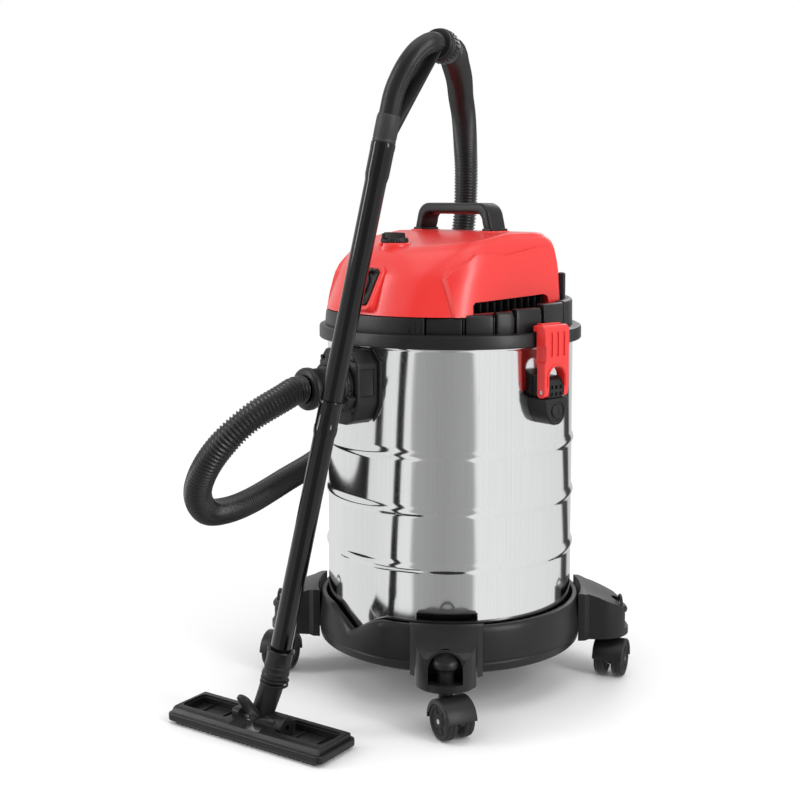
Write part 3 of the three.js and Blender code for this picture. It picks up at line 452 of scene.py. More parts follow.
def pushed(outline, depth):
    bm = bmesh.new()
    face = bm.faces.new([bm.verts.new((x, y, 0)) for x, y in outline])
    grown = bmesh.ops.extrude_face_region(bm, geom=[face])
    lifted = [part for part in grown["geom"] if isinstance(part, bmesh.types.BMVert)]
    bmesh.ops.translate(bm, vec=(0, 0, depth), verts=lifted)
    bmesh.ops.recalc_face_normals(bm, faces=bm.faces)
    return bm


def moved(bm, *steps):
    for step in steps:
        bmesh.ops.transform(bm, matrix=step, verts=bm.verts)
    return bm


def shift(x=0.0, y=0.0, z=0.0):
    return Matrix.Translation((x, y, z))


def spin(degrees, axis="Z"):
    return Matrix.Rotation(math.radians(degrees), 4, axis)


def mirrorX(side):
    return Matrix.Diagonal((side, 1, 1, 1))


# A piece drawn on the right is turned over onto the left.
def onSide(bm, side):
    if side < 0:
        moved(bm, mirrorX(-1))
        bmesh.ops.recalc_face_normals(bm, faces=bm.faces)
    return bm


# An outline drawn as (x, z) and pushed along Y, centred.
def slab(outline, wide):
    return moved(pushed(outline, wide), spin(90, "X"), shift(y=wide / 2))


def block(wide, deep, high, x=0.0, y=0.0, z=0.0):
    bm = bmesh.new()
    bmesh.ops.create_cube(bm, size=1, matrix=shift(x, y, z + high / 2) @ Matrix.Diagonal((wide, deep, high, 1)))
    return bm


def rod(radius, high, x=0.0, y=0.0, z=0.0, sides=48, top=None):
    bm = bmesh.new()
    bmesh.ops.create_cone(bm, cap_ends=True, segments=sides, radius1=radius, radius2=radius if top is None else top,
                          depth=high, matrix=shift(x, y, z + high / 2))
    return bm


def rodAlongX(radius, long, x=0.0, y=0.0, z=0.0, sides=32):
    return moved(rod(radius, long, sides=sides), spin(90, "Y"), shift(x, y, z))


def rodAlongY(radius, long, x=0.0, y=0.0, z=0.0, sides=48):
    return moved(rod(radius, long, sides=sides), spin(-90, "X"), shift(x, y, z))


def arc(x, y, radius, first, last, steps=8):
    turns = [math.radians(first + (last - first) * i / steps) for i in range(steps + 1)]
    return [(x + radius * math.cos(turn), y + radius * math.sin(turn)) for turn in turns]


# An outline drawn as (across, up), whose pushed depth ends where X is "outside".
def plateOnSide(outline, depth, outside):
    return moved(pushed(outline, depth), spin(90, "X"), shift(y=depth), spin(90), shift(outside, 0, 0))


# The same on the front: across, up, and the depth's front face at -Y.
def plateOnFront(outline, depth, front, level):
    return moved(pushed(outline, depth), spin(90, "X"), shift(y=depth - front, z=level))


def roundedRect(wide, high, radius, steps=6):
    x, y = wide / 2 - radius, high / 2 - radius
    return (arc(x, y, radius, 0, 90, steps) + arc(-x, y, radius, 90, 180, steps)
            + arc(-x, -y, radius, 180, 270, steps) + arc(x, -y, radius, 270, 360, steps))


def softened(bm, width, segments=3, angle=35):
    edges = [edge for edge in bm.edges if len(edge.link_faces) == 2 and edge.calc_face_angle(0) > math.radians(angle)]
    bmesh.ops.bevel(bm, geom=edges, offset=width, offset_type="OFFSET", affect="EDGES", segments=segments,
                    profile=0.5, material=-1, clamp_overlap=True)
    return bm


def together(*parts):
    whole = bmesh.new()
    for part in parts:
        mesh = bpy.data.meshes.new("part")
        part.to_mesh(mesh)
        part.free()
        whole.from_mesh(mesh)
        bpy.data.meshes.remove(mesh)
    return whole


def holder(bm):
    mesh = bpy.data.meshes.new("holder")
    bm.to_mesh(mesh)
    bm.free()
    obj = bpy.data.objects.new("holder", mesh)
    scene.collection.objects.link(obj)
    return obj


def combined(mode, bm, *others):
    base = holder(bm)
    tools = [holder(other) for other in others]
    for tool in tools:
        modifier = base.modifiers.new("combine", "BOOLEAN")
        modifier.operation = mode
        modifier.solver = "EXACT"
        modifier.object = tool
    evaluated = base.evaluated_get(bpy.context.evaluated_depsgraph_get())
    result = bmesh.new()
    result.from_mesh(evaluated.to_mesh())
    evaluated.to_mesh_clear()
    for obj in [base, *tools]:
        mesh = obj.data
        bpy.data.objects.remove(obj)
        bpy.data.meshes.remove(mesh)
    bmesh.ops.remove_doubles(result, verts=result.verts, dist=0.0005)
    return result


def joined(bm, *others):
    return combined("UNION", bm, *others)


def cut(bm, *others):
    return combined("DIFFERENCE", bm, *others)


def common(bm, other):
    return combined("INTERSECT", bm, other)


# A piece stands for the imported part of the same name, if there is one.
def addPiece(name, bm, body, look="black moulding", bevel=0.0, segments=3, angle=32, sharp=38):
    bmesh.ops.scale(bm, vec=(mm, mm, mm), verts=bm.verts)
    bmesh.ops.translate(bm, vec=drumAxis, verts=bm.verts)
    for face in bm.faces:
        face.smooth = True
    if not bevel:
        for edge in bm.edges:
            edge.smooth = not (len(edge.link_faces) == 2 and edge.calc_face_angle(0) > math.radians(sharp))
    mesh = bpy.data.meshes.new(name)
    bm.to_mesh(mesh)
    bm.free()
    mesh.materials.append(finish[look])
    obj = bpy.data.objects.new(name, mesh)
    scene.collection.objects.link(obj)
    if bevel:
        modifier = obj.modifiers.new("edges", "BEVEL")
        modifier.width = bevel * mm
        modifier.segments = segments
        modifier.limit_method = "ANGLE"
        modifier.angle_limit = math.radians(angle)
        modifier.miter_outer = "MITER_ARC"
        normals = obj.modifiers.new("normals", "WEIGHTED_NORMAL")
        normals.keep_sharp = True
    if body:
        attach(obj, body)
    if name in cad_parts:
        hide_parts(name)
    return obj


# curves that pieces follow
def throughPoints(points, perSpan=12):
    points = [Vector(point) for point in points]
    ends = [points[0] * 2 - points[1], *points, points[-1] * 2 - points[-2]]
    line = []
    for a, b, c, d in zip(ends, ends[1:], ends[2:], ends[3:]):
        da, db, dc = ((q - p).length ** 0.5 for p, q in ((a, b), (b, c), (c, d)))
        leave = ((b - a) / da - (c - a) / (da + db) + (c - b) / db) * db
        arrive = ((c - b) / db - (d - b) / (db + dc) + (d - c) / dc) * db
        for i in range(perSpan):
            t = i / perSpan
            line.append(b + leave * t + (b * -3 + c * 3 - leave * 2 - arrive) * t ** 2
                        + (b * 2 - c * 2 + leave + arrive) * t ** 3)
    return [*line, points[-1]]


def frames(line):
    along = [(q - p).normalized() for p, q in zip(line, line[1:])]
    tangents = [along[0], *[(p + q).normalized() for p, q in zip(along, along[1:])], along[-1]]
    across = tangents[0].orthogonal().normalized()
    result, run = [], 0.0
    for i, (point, tangent) in enumerate(zip(line, tangents)):
        if i:
            run += (point - line[i - 1]).length
            across = tangents[i - 1].rotation_difference(tangent) @ across
        result.append((run, point, across.copy(), tangent.cross(across)))
    return result


# A mesh that stands along +Z is laid along the line, so that z is the distance along it.
def bent(bm, line):
    stations = frames(line)
    last = len(stations) - 2
    for vert in bm.verts:
        x, y, z = vert.co
        low, high = 0, last
        while low < high:
            middle = (low + high + 1) // 2
            if stations[middle][0] <= z:
                low = middle
            else:
                high = middle - 1
        (s0, p0, u0, v0), (s1, p1, u1, v1) = stations[low], stations[low + 1]
        t = (z - s0) / (s1 - s0)
        vert.co = p0.lerp(p1, t) + u0.lerp(u1, t).normalized() * x + v0.lerp(v1, t).normalized() * y
    bmesh.ops.recalc_face_normals(bm, faces=bm.faces)
    return bm


def lineLength(line):
    return sum((q - p).length for p, q in zip(line, line[1:]))


# hose
inletLevel = 400
wandFoot = Vector((33, -304, 104.4))
wandHeading = Vector((0.143, 0.148, 1)).normalized()
handleEnd = Vector((138.5, -156, 803))
hoseHeading = Vector((-0.42, 0.89, -0.1)).normalized()
hoseShape = {
    "radius": 16, "crest": 1.1, "valley": 1.5, "pitch": 4.7, "sides": 22, "lead": 12,
    "cuffEnd": (0, -242.9, inletLevel), "collarReach": 34.3,
    "toWand": (0.3, 0.2, 1), "blend": (355, 800),   # a heading towards the wand, and a stretch of hose from where to where
    "diameter": 0.032,                              # metres
    "route": [
        (1, -272, 394), (-7, -315, 373), (-23, -341, 346), (-48, -351, 313), (-80, -342, 276),
        (-112, -309, 243), (-138, -263, 231), (-158, -212, 231), (-182, -136, 244), (-194, -59, 266),
        (-197, 9, 308), (-190, 64, 363), (-174, 110, 426), (-155, 144, 498), (-137, 158, 577),
        (-122, 150, 656), (-108, 134, 703), (-83, 106, 739), (-43, 61, 763), (12, 4, 779), (65, -54, 790),
    ],
}


def makeHose(c):
    start = Vector(c["cuffEnd"])
    end = handleEnd + hoseHeading * c["collarReach"]
    line = throughPoints([start, start + Vector((0, -c["lead"], 0)), *c["route"], end + hoseHeading * c["lead"], end])
    length = lineLength(line)
    waves = round(length / c["pitch"])
    pitch = length / waves
    rounding = [(0.0, -c["valley"]), (0.22, -c["valley"]), (0.42, c["crest"] * 0.7), (0.56, c["crest"]), (0.72, 0.1)]
    profile = [(c["radius"] + rise, (wave + share) * pitch) for wave in range(waves) for share, rise in rounding]
    profile.append((c["radius"] - c["valley"], length))
    bm = turned(profile, steps=c["sides"])
    groove = bm.verts.layers.float.new("groove")
    for vert in bm.verts:
        depth = (c["radius"] + c["crest"] - math.hypot(vert.co.x, vert.co.y)) / (c["crest"] + c["valley"])
        vert[groove] = max(0.0, min(1.0, depth))
    bmesh.ops.holes_fill(bm, edges=[edge for edge in bm.edges if edge.is_boundary])
    bent(bm, line)
    hose = addPiece("hose", bm, None, "hose black", sharp=180)
    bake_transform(hose)
    print("hose laid,", round(length), "mm")


makeHose(hoseShape)


cuffShape = {
    "start": 204.6, "ribs": 40, "ribDepth": 0.7,
    # outside from the connector to the hose, then back through the bore
    "profile": [(15.2, 0), (25, 0), (25.4, 1), (25.4, 4), (24.2, 5), (23.2, 6), (23.2, 26), (24.2, 27.5), (25.4, 28.5),
                (25.8, 30), (25.8, 34), (25, 36), (22, 37.5), (19, 38), (17.2, 38), (17.2, 36), (15.2, 34)],
}


def makeCuff(c):
    bm = turned(c["profile"], steps=c["ribs"] * 6, closed=True)
    for vert in bm.verts:
        radius = math.hypot(vert.co.x, vert.co.y)
        if 23 < radius < 23.4:
            wave = math.cos(math.atan2(vert.co.y, vert.co.x) * c["ribs"])
            grow = (radius + c["ribDepth"] * max(-0.4, min(0.6, wave * 1.6))) / radius
            vert.co.x *= grow
            vert.co.y *= grow
    moved(bm, spin(90, "X"), shift(0, -c["start"], inletLevel))
    addPiece("hose_cuff", bm, "drum_base", sharp=50)


makeCuff(cuffShape)


# wand
def onWand(bm, along=0.0):
    turn = Vector((0, 0, 1)).rotation_difference(wandHeading).to_matrix().to_4x4()
    return moved(bm, shift(z=along), turn, Matrix.Translation(wandFoot))


tubeShape = {"radius": 12.5, "wall": 1.3, "length": 299, "socket": 35, "bell": 13.8, "steps": 72}


def makeTubes(c):
    r, inner, bell, length = c["radius"], c["radius"] - c["wall"], c["bell"], c["length"]
    mouth = length - c["socket"]
    lower = turned([
        (inner, 0.3), (r - 0.3, 0.3), (r, 0.8), (r, mouth - 9), (r + 0.1, mouth - 7), (bell - 0.2, mouth - 3),
        (bell, mouth), (bell, mouth + 5), (bell - 0.5, mouth + 6), (bell - 0.5, length - 6), (bell, length - 5),
        (bell + 0.3, length - 3), (bell + 0.3, length - 0.8), (bell, length), (r + 0.3, length), (r + 0.3, mouth - 6),
        (inner, mouth - 10)], steps=c["steps"], closed=True)
    upper = turned([
        (inner, mouth), (r - 0.3, mouth), (r, mouth + 0.6), (r, 2 * length - c["socket"] - 9),
        (bell - 0.2, 2 * length - c["socket"] - 3), (bell, 2 * length - c["socket"]), (bell, 2 * length - 8),
        (bell + 0.3, 2 * length - 7), (bell + 0.3, 2 * length - 1), (bell, 2 * length), (inner, 2 * length)],
        steps=c["steps"], closed=True)
    for name, bm in (("lower_tube", lower), ("upper_tube", upper)):
        addPiece(name, onWand(bm), "wand", "black gloss", sharp=40)


makeTubes(tubeShape)

handleShape = {
    "radius": 12, "bore": 10, "sleeveStart": 598.3, "ridge": 0.7, "gripRibs": 0.55, "ribPitch": 5.5,
    "bends": [(125, -209, 745), (129.5, -204, 762), (135, -196.5, 779), (139.5, -185, 793.5), (142.5, -171, 802)],
}


def makeHandle(c):
    start = c["sleeveStart"]
    sleeve = turned([
        (12.3, start), (13, start), (13.5, start + 0.8), (13.5, start + 3), (13.2, start + 3.6), (13.2, start + 5),
        (13.5, start + 5.6), (13.5, start + 27), (13.2, start + 29), (12.8, start + 31), (12.3, start + 32)],
        steps=72, closed=True)
    addPiece("handle_cuff", onWand(sleeve), "wand", "sleeve grey", sharp=45)
    top = wandFoot + wandHeading * start
    straight = [top + wandHeading * reach for reach in (0, 18, 36)]
    line = throughPoints([*straight, *c["bends"], handleEnd - hoseHeading * 4, handleEnd], 10)
    length = lineLength(line)
    rows = 150
    profile = [(c["bore"], 0), *[(c["radius"], length * i / rows) for i in range(rows + 1)], (c["bore"], length)]
    bm = turned(profile, steps=72, closed=True)
    # the outer side of the bend, where the moulding seam runs, in the mesh's own turn
    stations = frames(line)
    middle = stations[len(stations) // 2]
    outward = Vector((0.35, -0.25, 0.9)).normalized()
    seam = math.atan2(outward.dot(middle[3]), outward.dot(middle[2]))
    for vert in bm.verts:
        radius = math.hypot(vert.co.x, vert.co.y)
        if radius < c["radius"] - 0.1:
            continue
        turn = (math.atan2(vert.co.y, vert.co.x) - seam + math.pi) % tau - math.pi
        rise = 0.0
        if abs(abs(turn) - math.pi / 2) < 0.09:
            rise = c["ridge"]
        if abs(turn) > 2.1 and 40 < vert.co.z < length - 12:
            rise = c["gripRibs"] * max(0.0, math.sin(vert.co.z / c["ribPitch"] * tau))
        vert.co.x *= (radius + rise) / radius
        vert.co.y *= (radius + rise) / radius
    addPiece("handle_tube", bent(bm, line), "wand", "black moulding", sharp=50)


makeHandle(handleShape)

swivelShape = {"steps": 96, "notches": 24}


def makeSwivel(c):
    collar = turned([
        (12, 0.3), (16.6, 0.3), (17.4, 1), (17.4, 3.4), (16.8, 4.2), (16.8, 5), (18.2, 5.8), (19, 7), (19, 9),
        (18.4, 9.6), (18.4, 11), (19, 11.6), (19, 25), (18.2, 27.5), (17.4, 28), (17.4, 31), (17, 33), (16.4, 34),
        (12, 34)], steps=c["steps"], closed=True)
    lugs = [moved(block(2.2, 1.6, 11, 0, 18.9, 13), spin(360 / c["notches"] * i)) for i in range(c["notches"])]
    whole = together(collar, *[softened(lug, 0.5, 2) for lug in lugs])
    turn = Vector((0, 0, 1)).rotation_difference(hoseHeading).to_matrix().to_4x4()
    moved(whole, turn, Matrix.Translation(handleEnd))
    addPiece("hose_swivel", whole, "swivel", sharp=40)


makeSwivel(swivelShape)

# floor nozzle
nozzleShape = {
    "place": (14, -322), "yaw": 14, "length": 232, "depth": 70, "bottom": 4, "foot": 9, "height": 20,
    "window": (38, 104), "pivot": 18,
}


def makeNozzle(c):
    onFloor = shift(*c["place"], 0) @ spin(c["yaw"])
    length, depth, bottom = c["length"], c["depth"], c["bottom"]
    foot = softened(moved(pushed(roundedRect(length, depth, 7), c["foot"]), shift(z=bottom)), 1.6)
    # the plate's front edge slopes down to the lip
    slope = slab([(-depth / 2 + 2, bottom + 7), (depth / 2 - 4, bottom + 7), (depth / 2 - 5, c["height"] - 1),
                  (depth / 2 - 8, c["height"]), (-depth / 2 + 10, c["height"]), (-depth / 2 + 6, c["height"] - 2)],
                 length - 9)
    plate = softened(moved(slope, spin(90)), 1.8)
    body = joined(foot, plate)
    low, high = c["window"]
    wells, sills = [], []
    for side in (-1, 1):
        middle = side * (low + high) / 2
        outline = roundedRect(high - low, depth / 2, 4)
        wells.append(moved(pushed(outline, 20), shift(middle, 1, bottom + 6)))
        sill = pushed(roundedRect(high - low + 5, depth / 2 + 5, 6), 20)
        sills.append(moved(sill, shift(middle, 1, c["height"] - 2.4)))
    body = cut(body, *wells, *sills)
    cheeks = softened(block(70, 24, 24, 0, 0, bottom + 2), 5, 5)
    gapRoom = block(44.6, 58, 60, 0, 0, -1)
    slot = block(length - 30, 14, 5, 0, 0, bottom - 1)
    grooves = [block(length - 18, 5.6, 8, 0, side * (depth / 2 - 7), 0.3) for side in (-1, 1)]
    pinRoom = rodAlongX(3.3, 80, 0, 0, c["pivot"])
    body = cut(joined(body, cheeks), gapRoom, slot, *grooves, pinRoom)
    # ribs in the two wells and a long bead along the front lip
    extras = []
    for side in (-1, 1):
        middle = side * (low + high) / 2
        extras += [softened(block(1.6, depth / 2 - 2, 2.4, middle + step, 1, bottom + 5.6), 0.4, 2)
                   for step in (-16, 16)]
    extras.append(softened(moved(block(length - 16, 2, 1.6, 0, -depth / 2 + 2.6, bottom + 8.4)), 0.6, 2))
    body = together(body, *extras)
    addPiece("nozzle_body", moved(body, onFloor), "nozzle",
             bevel=0.5, segments=2, angle=50)
    for name, side in (("front", -1), ("rear", 1)):
        strip = softened(block(length - 20, 4, 7.6, 0, side * (depth / 2 - 7), 0.2), 0.6, 2)
        teeth = [softened(block(3.2, 5, 6.5, -length / 2 + 14 + i * 6.8, side * (depth / 2 - 7), 0), 0.4, 1)
                 for i in range(31)]
        addPiece("nozzle_strip_" + name, moved(together(strip, *teeth), onFloor), "nozzle", "rubber",
                 sharp=40)


makeNozzle(nozzleShape)

neckShape = {"radius": 14, "barrel": 13, "barrelLength": 42, "pinRoom": 3.3}


def makeNeck(c):
    x, y = nozzleShape["place"]
    pivot = Vector((x, y, nozzleShape["pivot"]))
    a, b = wandFoot - wandHeading * 4, wandFoot - wandHeading * 40
    line = [a * (1 - t) ** 2 + b * 2 * t * (1 - t) + pivot * t ** 2 for t in (i / 28 for i in range(29))]
    length = lineLength(line)
    rows = 40
    duct = []
    for i in range(rows + 1):
        share = i / rows
        swell = 1.6 * math.exp(-((share - 0.32) / 0.05) ** 2) - 1.2 * share
        duct.append((c["radius"] + 0.6 + swell, length * share))
    neck = bent(turned([(0, 0), *duct, (0, length)], steps=72), line)
    # broad web under the neck that runs down to the pivot
    yaw = spin(nozzleShape["yaw"])
    barrel = softened(rodAlongX(c["barrel"], c["barrelLength"], sides=64), 1.6, 4, 60)
    moved(barrel, yaw, Matrix.Translation(pivot))
    tab = softened(pushed(arc(0, 0, 9, 200, 340, 10) + arc(0, 26, 11.5, 0, 180, 10), 5), 1.6, 3, 40)
    moved(tab, shift(0, -22, 0), spin(-52, "X"), shift(0, -15, 14), yaw, Matrix.Translation(pivot))
    cuffBand = turned([
        (12.2, -30), (15.2, -30), (15.6, -29), (15.6, -26), (15, -25.4), (15, -22), (15.6, -21.4), (15.6, -19),
        (15, -18.4), (15, -3), (15.8, -2), (15.8, -0.8), (15.2, 0), (12.2, 0)], steps=72, closed=True)
    rings = [turned([(14.6, z), (16.6, z + 0.2), (16.9, z + 0.9), (16.9, z + 1.7), (16.6, z + 2.4), (14.6, z + 2.6)],
                    steps=72, closed=True) for z in (-37, -42)]
    solid = joined(neck, barrel)
    mouth = onWand(rod(11.5, 24), -20)
    low = block(200, 200, 40, x, y, nozzleShape["pivot"] - c["barrel"] - 40)
    pinRoom = moved(rodAlongX(c["pinRoom"], 90), yaw, Matrix.Translation(pivot))
    solid = cut(solid, mouth, pinRoom, low)
    whole = together(solid, tab, onWand(cuffBand), *[onWand(ring) for ring in rings])
    addPiece("nozzle_neck", whole, "wand", sharp=42)


makeNeck(neckShape)
print("wand and nozzle made")

# drum
drumShape = {
    "radius": 160, "wall": 1.2, "floor": 65.8, "height": 384.2, "beads": (114, 183, 252), "beadHalf": 8.5,
    "beadReach": 2.6, "rimRadius": (1.7, 2.6), "steps": 192, "port": 22.3,
}


def makeDrum(c):
    r, wall, top = c["radius"], c["wall"], c["height"]
    outside = [(0, 0), (r - 7, 0), (r - 3.5, 0.8), (r - 0.8, 3.2), (r, 7)]
    for level in c["beads"]:
        for i in range(9):
            share = i / 4 - 1
            outside.append((r + c["beadReach"] * (1 + math.cos(math.pi * share)) / 2, level + share * c["beadHalf"]))
    outside.append((r, top - 7))
    wide, high = c["rimRadius"]
    for turn in (-110, -70, -35, 0, 35, 65, 90):
        roll = math.radians(turn)
        outside.append((r + 1.6 + wide * math.cos(roll), top - high + high * math.sin(roll)))
    inside = [(r - wall, top - 0.4), (r - wall, 8), (r - 4, 3), (r - 8, wall), (0, wall)]
    bm = turned([*outside, *inside], steps=c["steps"])
    port = rodAlongY(c["port"], 60, 0, -r, inletLevel - c["floor"], 64)
    bm = moved(cut(bm, port), shift(z=c["floor"]))
    shell = addPiece("drum", bm, "drum_base", "drum steel", sharp=40)
    # the lamps' own bright patches stay off the polished sheet, which mirrors the studio walls
    spared = bpy.data.collections.new("no lamp patches")
    spared.objects.link(shell)
    spared.collection_objects[0].light_linking.link_state = "EXCLUDE"
    for lamp in lamps:
        lamp.light_linking.receiver_collection = spared


makeDrum(drumShape)

# dolly ring, arms and casters
ringShape = {
    "inside": 162.8, "outside": 174, "bottom": 54, "rim": 111, "floor": 65.5, "notch": 22, "notchHalf": 17,
    "steps": 216, "panelEdge": 72,
}


def ringRim(angle, c):
    away = min(abs((angle - place + 180) % 360 - 180) for place in (-90, 90))
    dip = max(0.0, 1 - away / c["notchHalf"])
    return c["rim"] - c["notch"] * dip ** 1.3


def makeRing(c):
    inside, outside, rim = c["inside"], c["outside"], c["rim"]
    bottom, edge = c["bottom"], c["panelEdge"]
    bm = turned([
        (0, 59.8), (inside, 59.8), (inside, bottom), (outside - 4, bottom), (outside - 2.6, bottom + 1.4),
        (outside - 1.6, edge - 8), (outside - 2.4, edge - 6.5), (outside - 2.4, edge - 5), (outside, edge - 3.5),
        (outside, edge + 10), (outside - 2.2, rim - 8), (outside - 3.2, rim - 2.5), (outside - 5, rim - 0.6),
        (outside - 7.4, rim), (inside + 1.2, rim), (inside + 0.2, rim - 1),
        (inside - 0.9, rim - 16), (inside - 0.9, c["floor"]), (0, c["floor"])], steps=c["steps"])
    start = edge + 10
    for vert in bm.verts:
        x, y, z = vert.co
        if z > start:
            level = ringRim(math.degrees(math.atan2(y, x)), c)
            vert.co.z = start + (z - start) * (level - start) / (rim - start)
    addPiece("base_ring", bm, "drum_base", sharp=34)


makeRing(ringShape)

armShape = {
    "root": 174.3, "reach": 238, "half": 37, "top": 116, "bottom": 54, "recess": 20.5, "lip": 2.6,
    "springDrop": 36,   # from the arm's top to where its arch springs
    "post": 15, "pegSlope": 0.26, "circle": 220,
    "corners": {"front_right": -45, "rear_right": 45, "rear_left": 135, "front_left": -135},
}


def armMesh(c):
    root, reach, half, bottom = c["root"], c["reach"], c["half"], c["bottom"]
    tip = reach - half
    plan = [(root - 20, -half - 9), (root + 3, -half - 7), (root + 9, -half - 1), *arc(tip, 0, half, -86, 86, 24),
            (root + 9, half + 1), (root + 3, half + 7), (root - 20, half + 9)]
    body = moved(pushed(plan, 90), shift(z=bottom))
    above = slab([(root - 40, c["top"]), (root, c["top"]), (root + 7, c["top"] - 1.5), (root + 20, c["top"] - 6),
                  (reach - 17, c["top"] - 18), (reach - 9, c["top"] - 24), (reach - 3, bottom + 20),
                  (reach - 1, bottom + 8), (reach + 30, bottom + 6), (reach + 30, bottom + 120),
                  (root - 40, bottom + 120)], 2 * half + 60)
    body = cut(body, above)
    body = softened(body, 3.2, 4, 30)
    arch = [(-c["recess"], bottom + 9), (c["recess"], bottom + 9),
            *arc(0, c["top"] - c["springDrop"], c["recess"], 0, 180, 16)]
    recess = plateOnSide(arch, 40, c["circle"] + 20)
    drumSide = rod(root, 140, 0, 0, bottom - 5, 216)
    floorRoom = rod(c["recess"], 20, c["circle"], 0, bottom + 9, 48)
    socket = rod(9.4, 34, c["circle"], 0, bottom - 3, 32)
    body = cut(body, drumSide, recess, floorRoom, socket)
    # lip that runs round the arch
    wide, spring = c["recess"] + c["lip"], c["top"] - c["springDrop"]
    around = [(-wide, bottom + 6), (wide, bottom + 6), *arc(0, spring, wide, 0, 180, 20)]
    within = [(-c["recess"], bottom + 2), (c["recess"], bottom + 2), *arc(0, spring, c["recess"], 0, 180, 20)]
    lip = cut(softened(plateOnSide(around, 3.4, reach - 8.5), 0.8, 2), plateOnSide(within, 30, reach + 10))
    post = c["post"]
    peg = turned([(5.4, bottom), (post - 4.5, bottom), (post - 4.5, bottom + 21), (post - 2, bottom + 25),
                  (post + 1.5, bottom + 28), (post + 2, bottom + 31), (post + 1.4, bottom + 37),
                  (post - 0.4, bottom + 39), (0, bottom + 39.6), (0, bottom + 33), (5.4, bottom + 33)], steps=64)
    for vert in peg.verts:   # the peg's top slopes down outwards
        if vert.co.z > bottom + 36:
            vert.co.z -= c["pegSlope"] * vert.co.x
    moved(peg, shift(c["circle"], 0, 0))
    return together(body, lip, peg)


def makeArms(c):
    arm = armMesh(c)
    for corner, place in c["corners"].items():
        addPiece("caster_arm_" + corner, moved(arm.copy(), spin(place)), "drum_base", sharp=34)
    arm.free()


makeArms(armShape)

casterShape = {
    "wheel": 23, "width": 15, "trail": 15, "axle": 3.3, "stem": 4.9, "stemTop": 84,
    "swing": {"front_right": 212, "rear_right": 70, "rear_left": 30, "front_left": -108},
}


def wheelMesh(c, side):
    r, w = c["wheel"], c["width"]
    profile = [(c["axle"], 0.4), (6.2, 0.4), (6.8, 1.0), (6.8, 1.6), (9, 1.8), (15.6, 1.8), (17, 0.5), (r - 3.5, 0.2),
               (r - 1.4, 0.9), (r - 0.3, 2.4), (r, 4.5), (r, w / 2 - 0.8), (r - 0.7, w / 2 - 0.3),
               (r - 0.7, w / 2 + 0.3), (r, w / 2 + 0.8), (r, w - 4.5), (r - 0.3, w - 2.4), (r - 1.4, w - 0.9),
               (r - 3.5, w - 0.2), (17, w - 0.5), (15.6, w - 2), (9, w - 2.2), (7.4, w - 0.6), (6.4, w - 0.2),
               (c["axle"], w - 0.2)]
    wheel = turned(profile, steps=72, closed=True)
    spokes = [softened(moved(block(7, 1.8, 1.4, 12, 0, w - 2.6), spin(60 * i)), 0.4, 2) for i in range(6)]
    whole = moved(together(wheel, *spokes), shift(z=4))
    if side < 0:
        moved(whole, spin(180, "X"))
    return moved(whole, spin(-90, "X"), shift(-c["trail"], 0, c["wheel"]))


def hoodMesh(c):
    inner, outer, wide = c["wheel"] + 1, c["wheel"] + 3, c["width"] * 2 + 9
    shell = slab([*arc(0, 0, outer, -6, 174, 32), *arc(0, 0, inner, 174, -6, 32)], wide)
    shell = softened(shell, 0.8, 3, 50)
    sides = []
    for side in (-1, 1):
        cheek = slab([*arc(0, 0, outer - 0.4, 12, 150, 28), *arc(0, 0, inner - 3.6, 150, 12, 28)], 1.6)
        sides.append(moved(softened(cheek, 0.4, 2, 50), shift(y=side * (wide / 2 - 0.6))))
    web = softened(slab([*arc(0, 0, inner + 0.6, 0, 180, 24), (-8, -8), (8, -8)], 6.6), 0.8, 2, 50)
    stem, top = c["stem"], c["stemTop"]
    neck = turned([(0, 18), (8.6, 18), (8.6, 27), (7.6, 28.5), (7.6, 29.6), (stem, 29.8), (stem, top - 24),
                   (stem - 1, top - 23), (0, top - 23)], steps=40)
    moved(neck, shift(c["trail"], 0, 0))
    body = joined(shell, web, neck)
    bore = rodAlongY(c["axle"], 60, 0, -30, 0)
    body = cut(body, bore, *[rodAlongY(inner - 0.2, 16.2, 0, y, 0, 64) for y in (3.4, -19.6)])
    bridge = softened(block(9, 12, 6, 20, 0, 14.5), 2, 3)
    return moved(together(body, bridge, *sides), shift(-c["trail"], 0, c["wheel"]))


def makeCasters(c):
    hood, wheels = hoodMesh(c), {"a": wheelMesh(c, 1), "b": wheelMesh(c, -1)}
    for corner, swing in c["swing"].items():
        place = spin(armShape["corners"][corner]) @ shift(armShape["circle"], 0, 0) @ spin(swing)
        addPiece("caster_hood_" + corner, moved(hood.copy(), place), "caster_" + corner, sharp=40)
        for letter, wheel in wheels.items():
            name = "caster_wheel_%s_%s" % (letter, corner)
            addPiece(name, moved(wheel.copy(), place), "wheels_" + corner, "rubber", sharp=36)
    for bm in (hood, *wheels.values()):
        bm.free()


makeCasters(casterShape)
print("drum and dolly made")

# inlet
inletShape = {
    "face": 190, "radius": 22, "bore": 19.5, "ringRoom": 27.3, "connectorBore": 15.2, "soft": 3.2,
    "outline": [(-37, 28), (-25, 44), (25, 44), (37, 28), (37, -22), (27, -42), (13, -48), (-13, -48), (-27, -42),
                (-37, -22)],
    "screws": ((-29, 33), (29, 33), (-27, -33), (27, -33)),
}


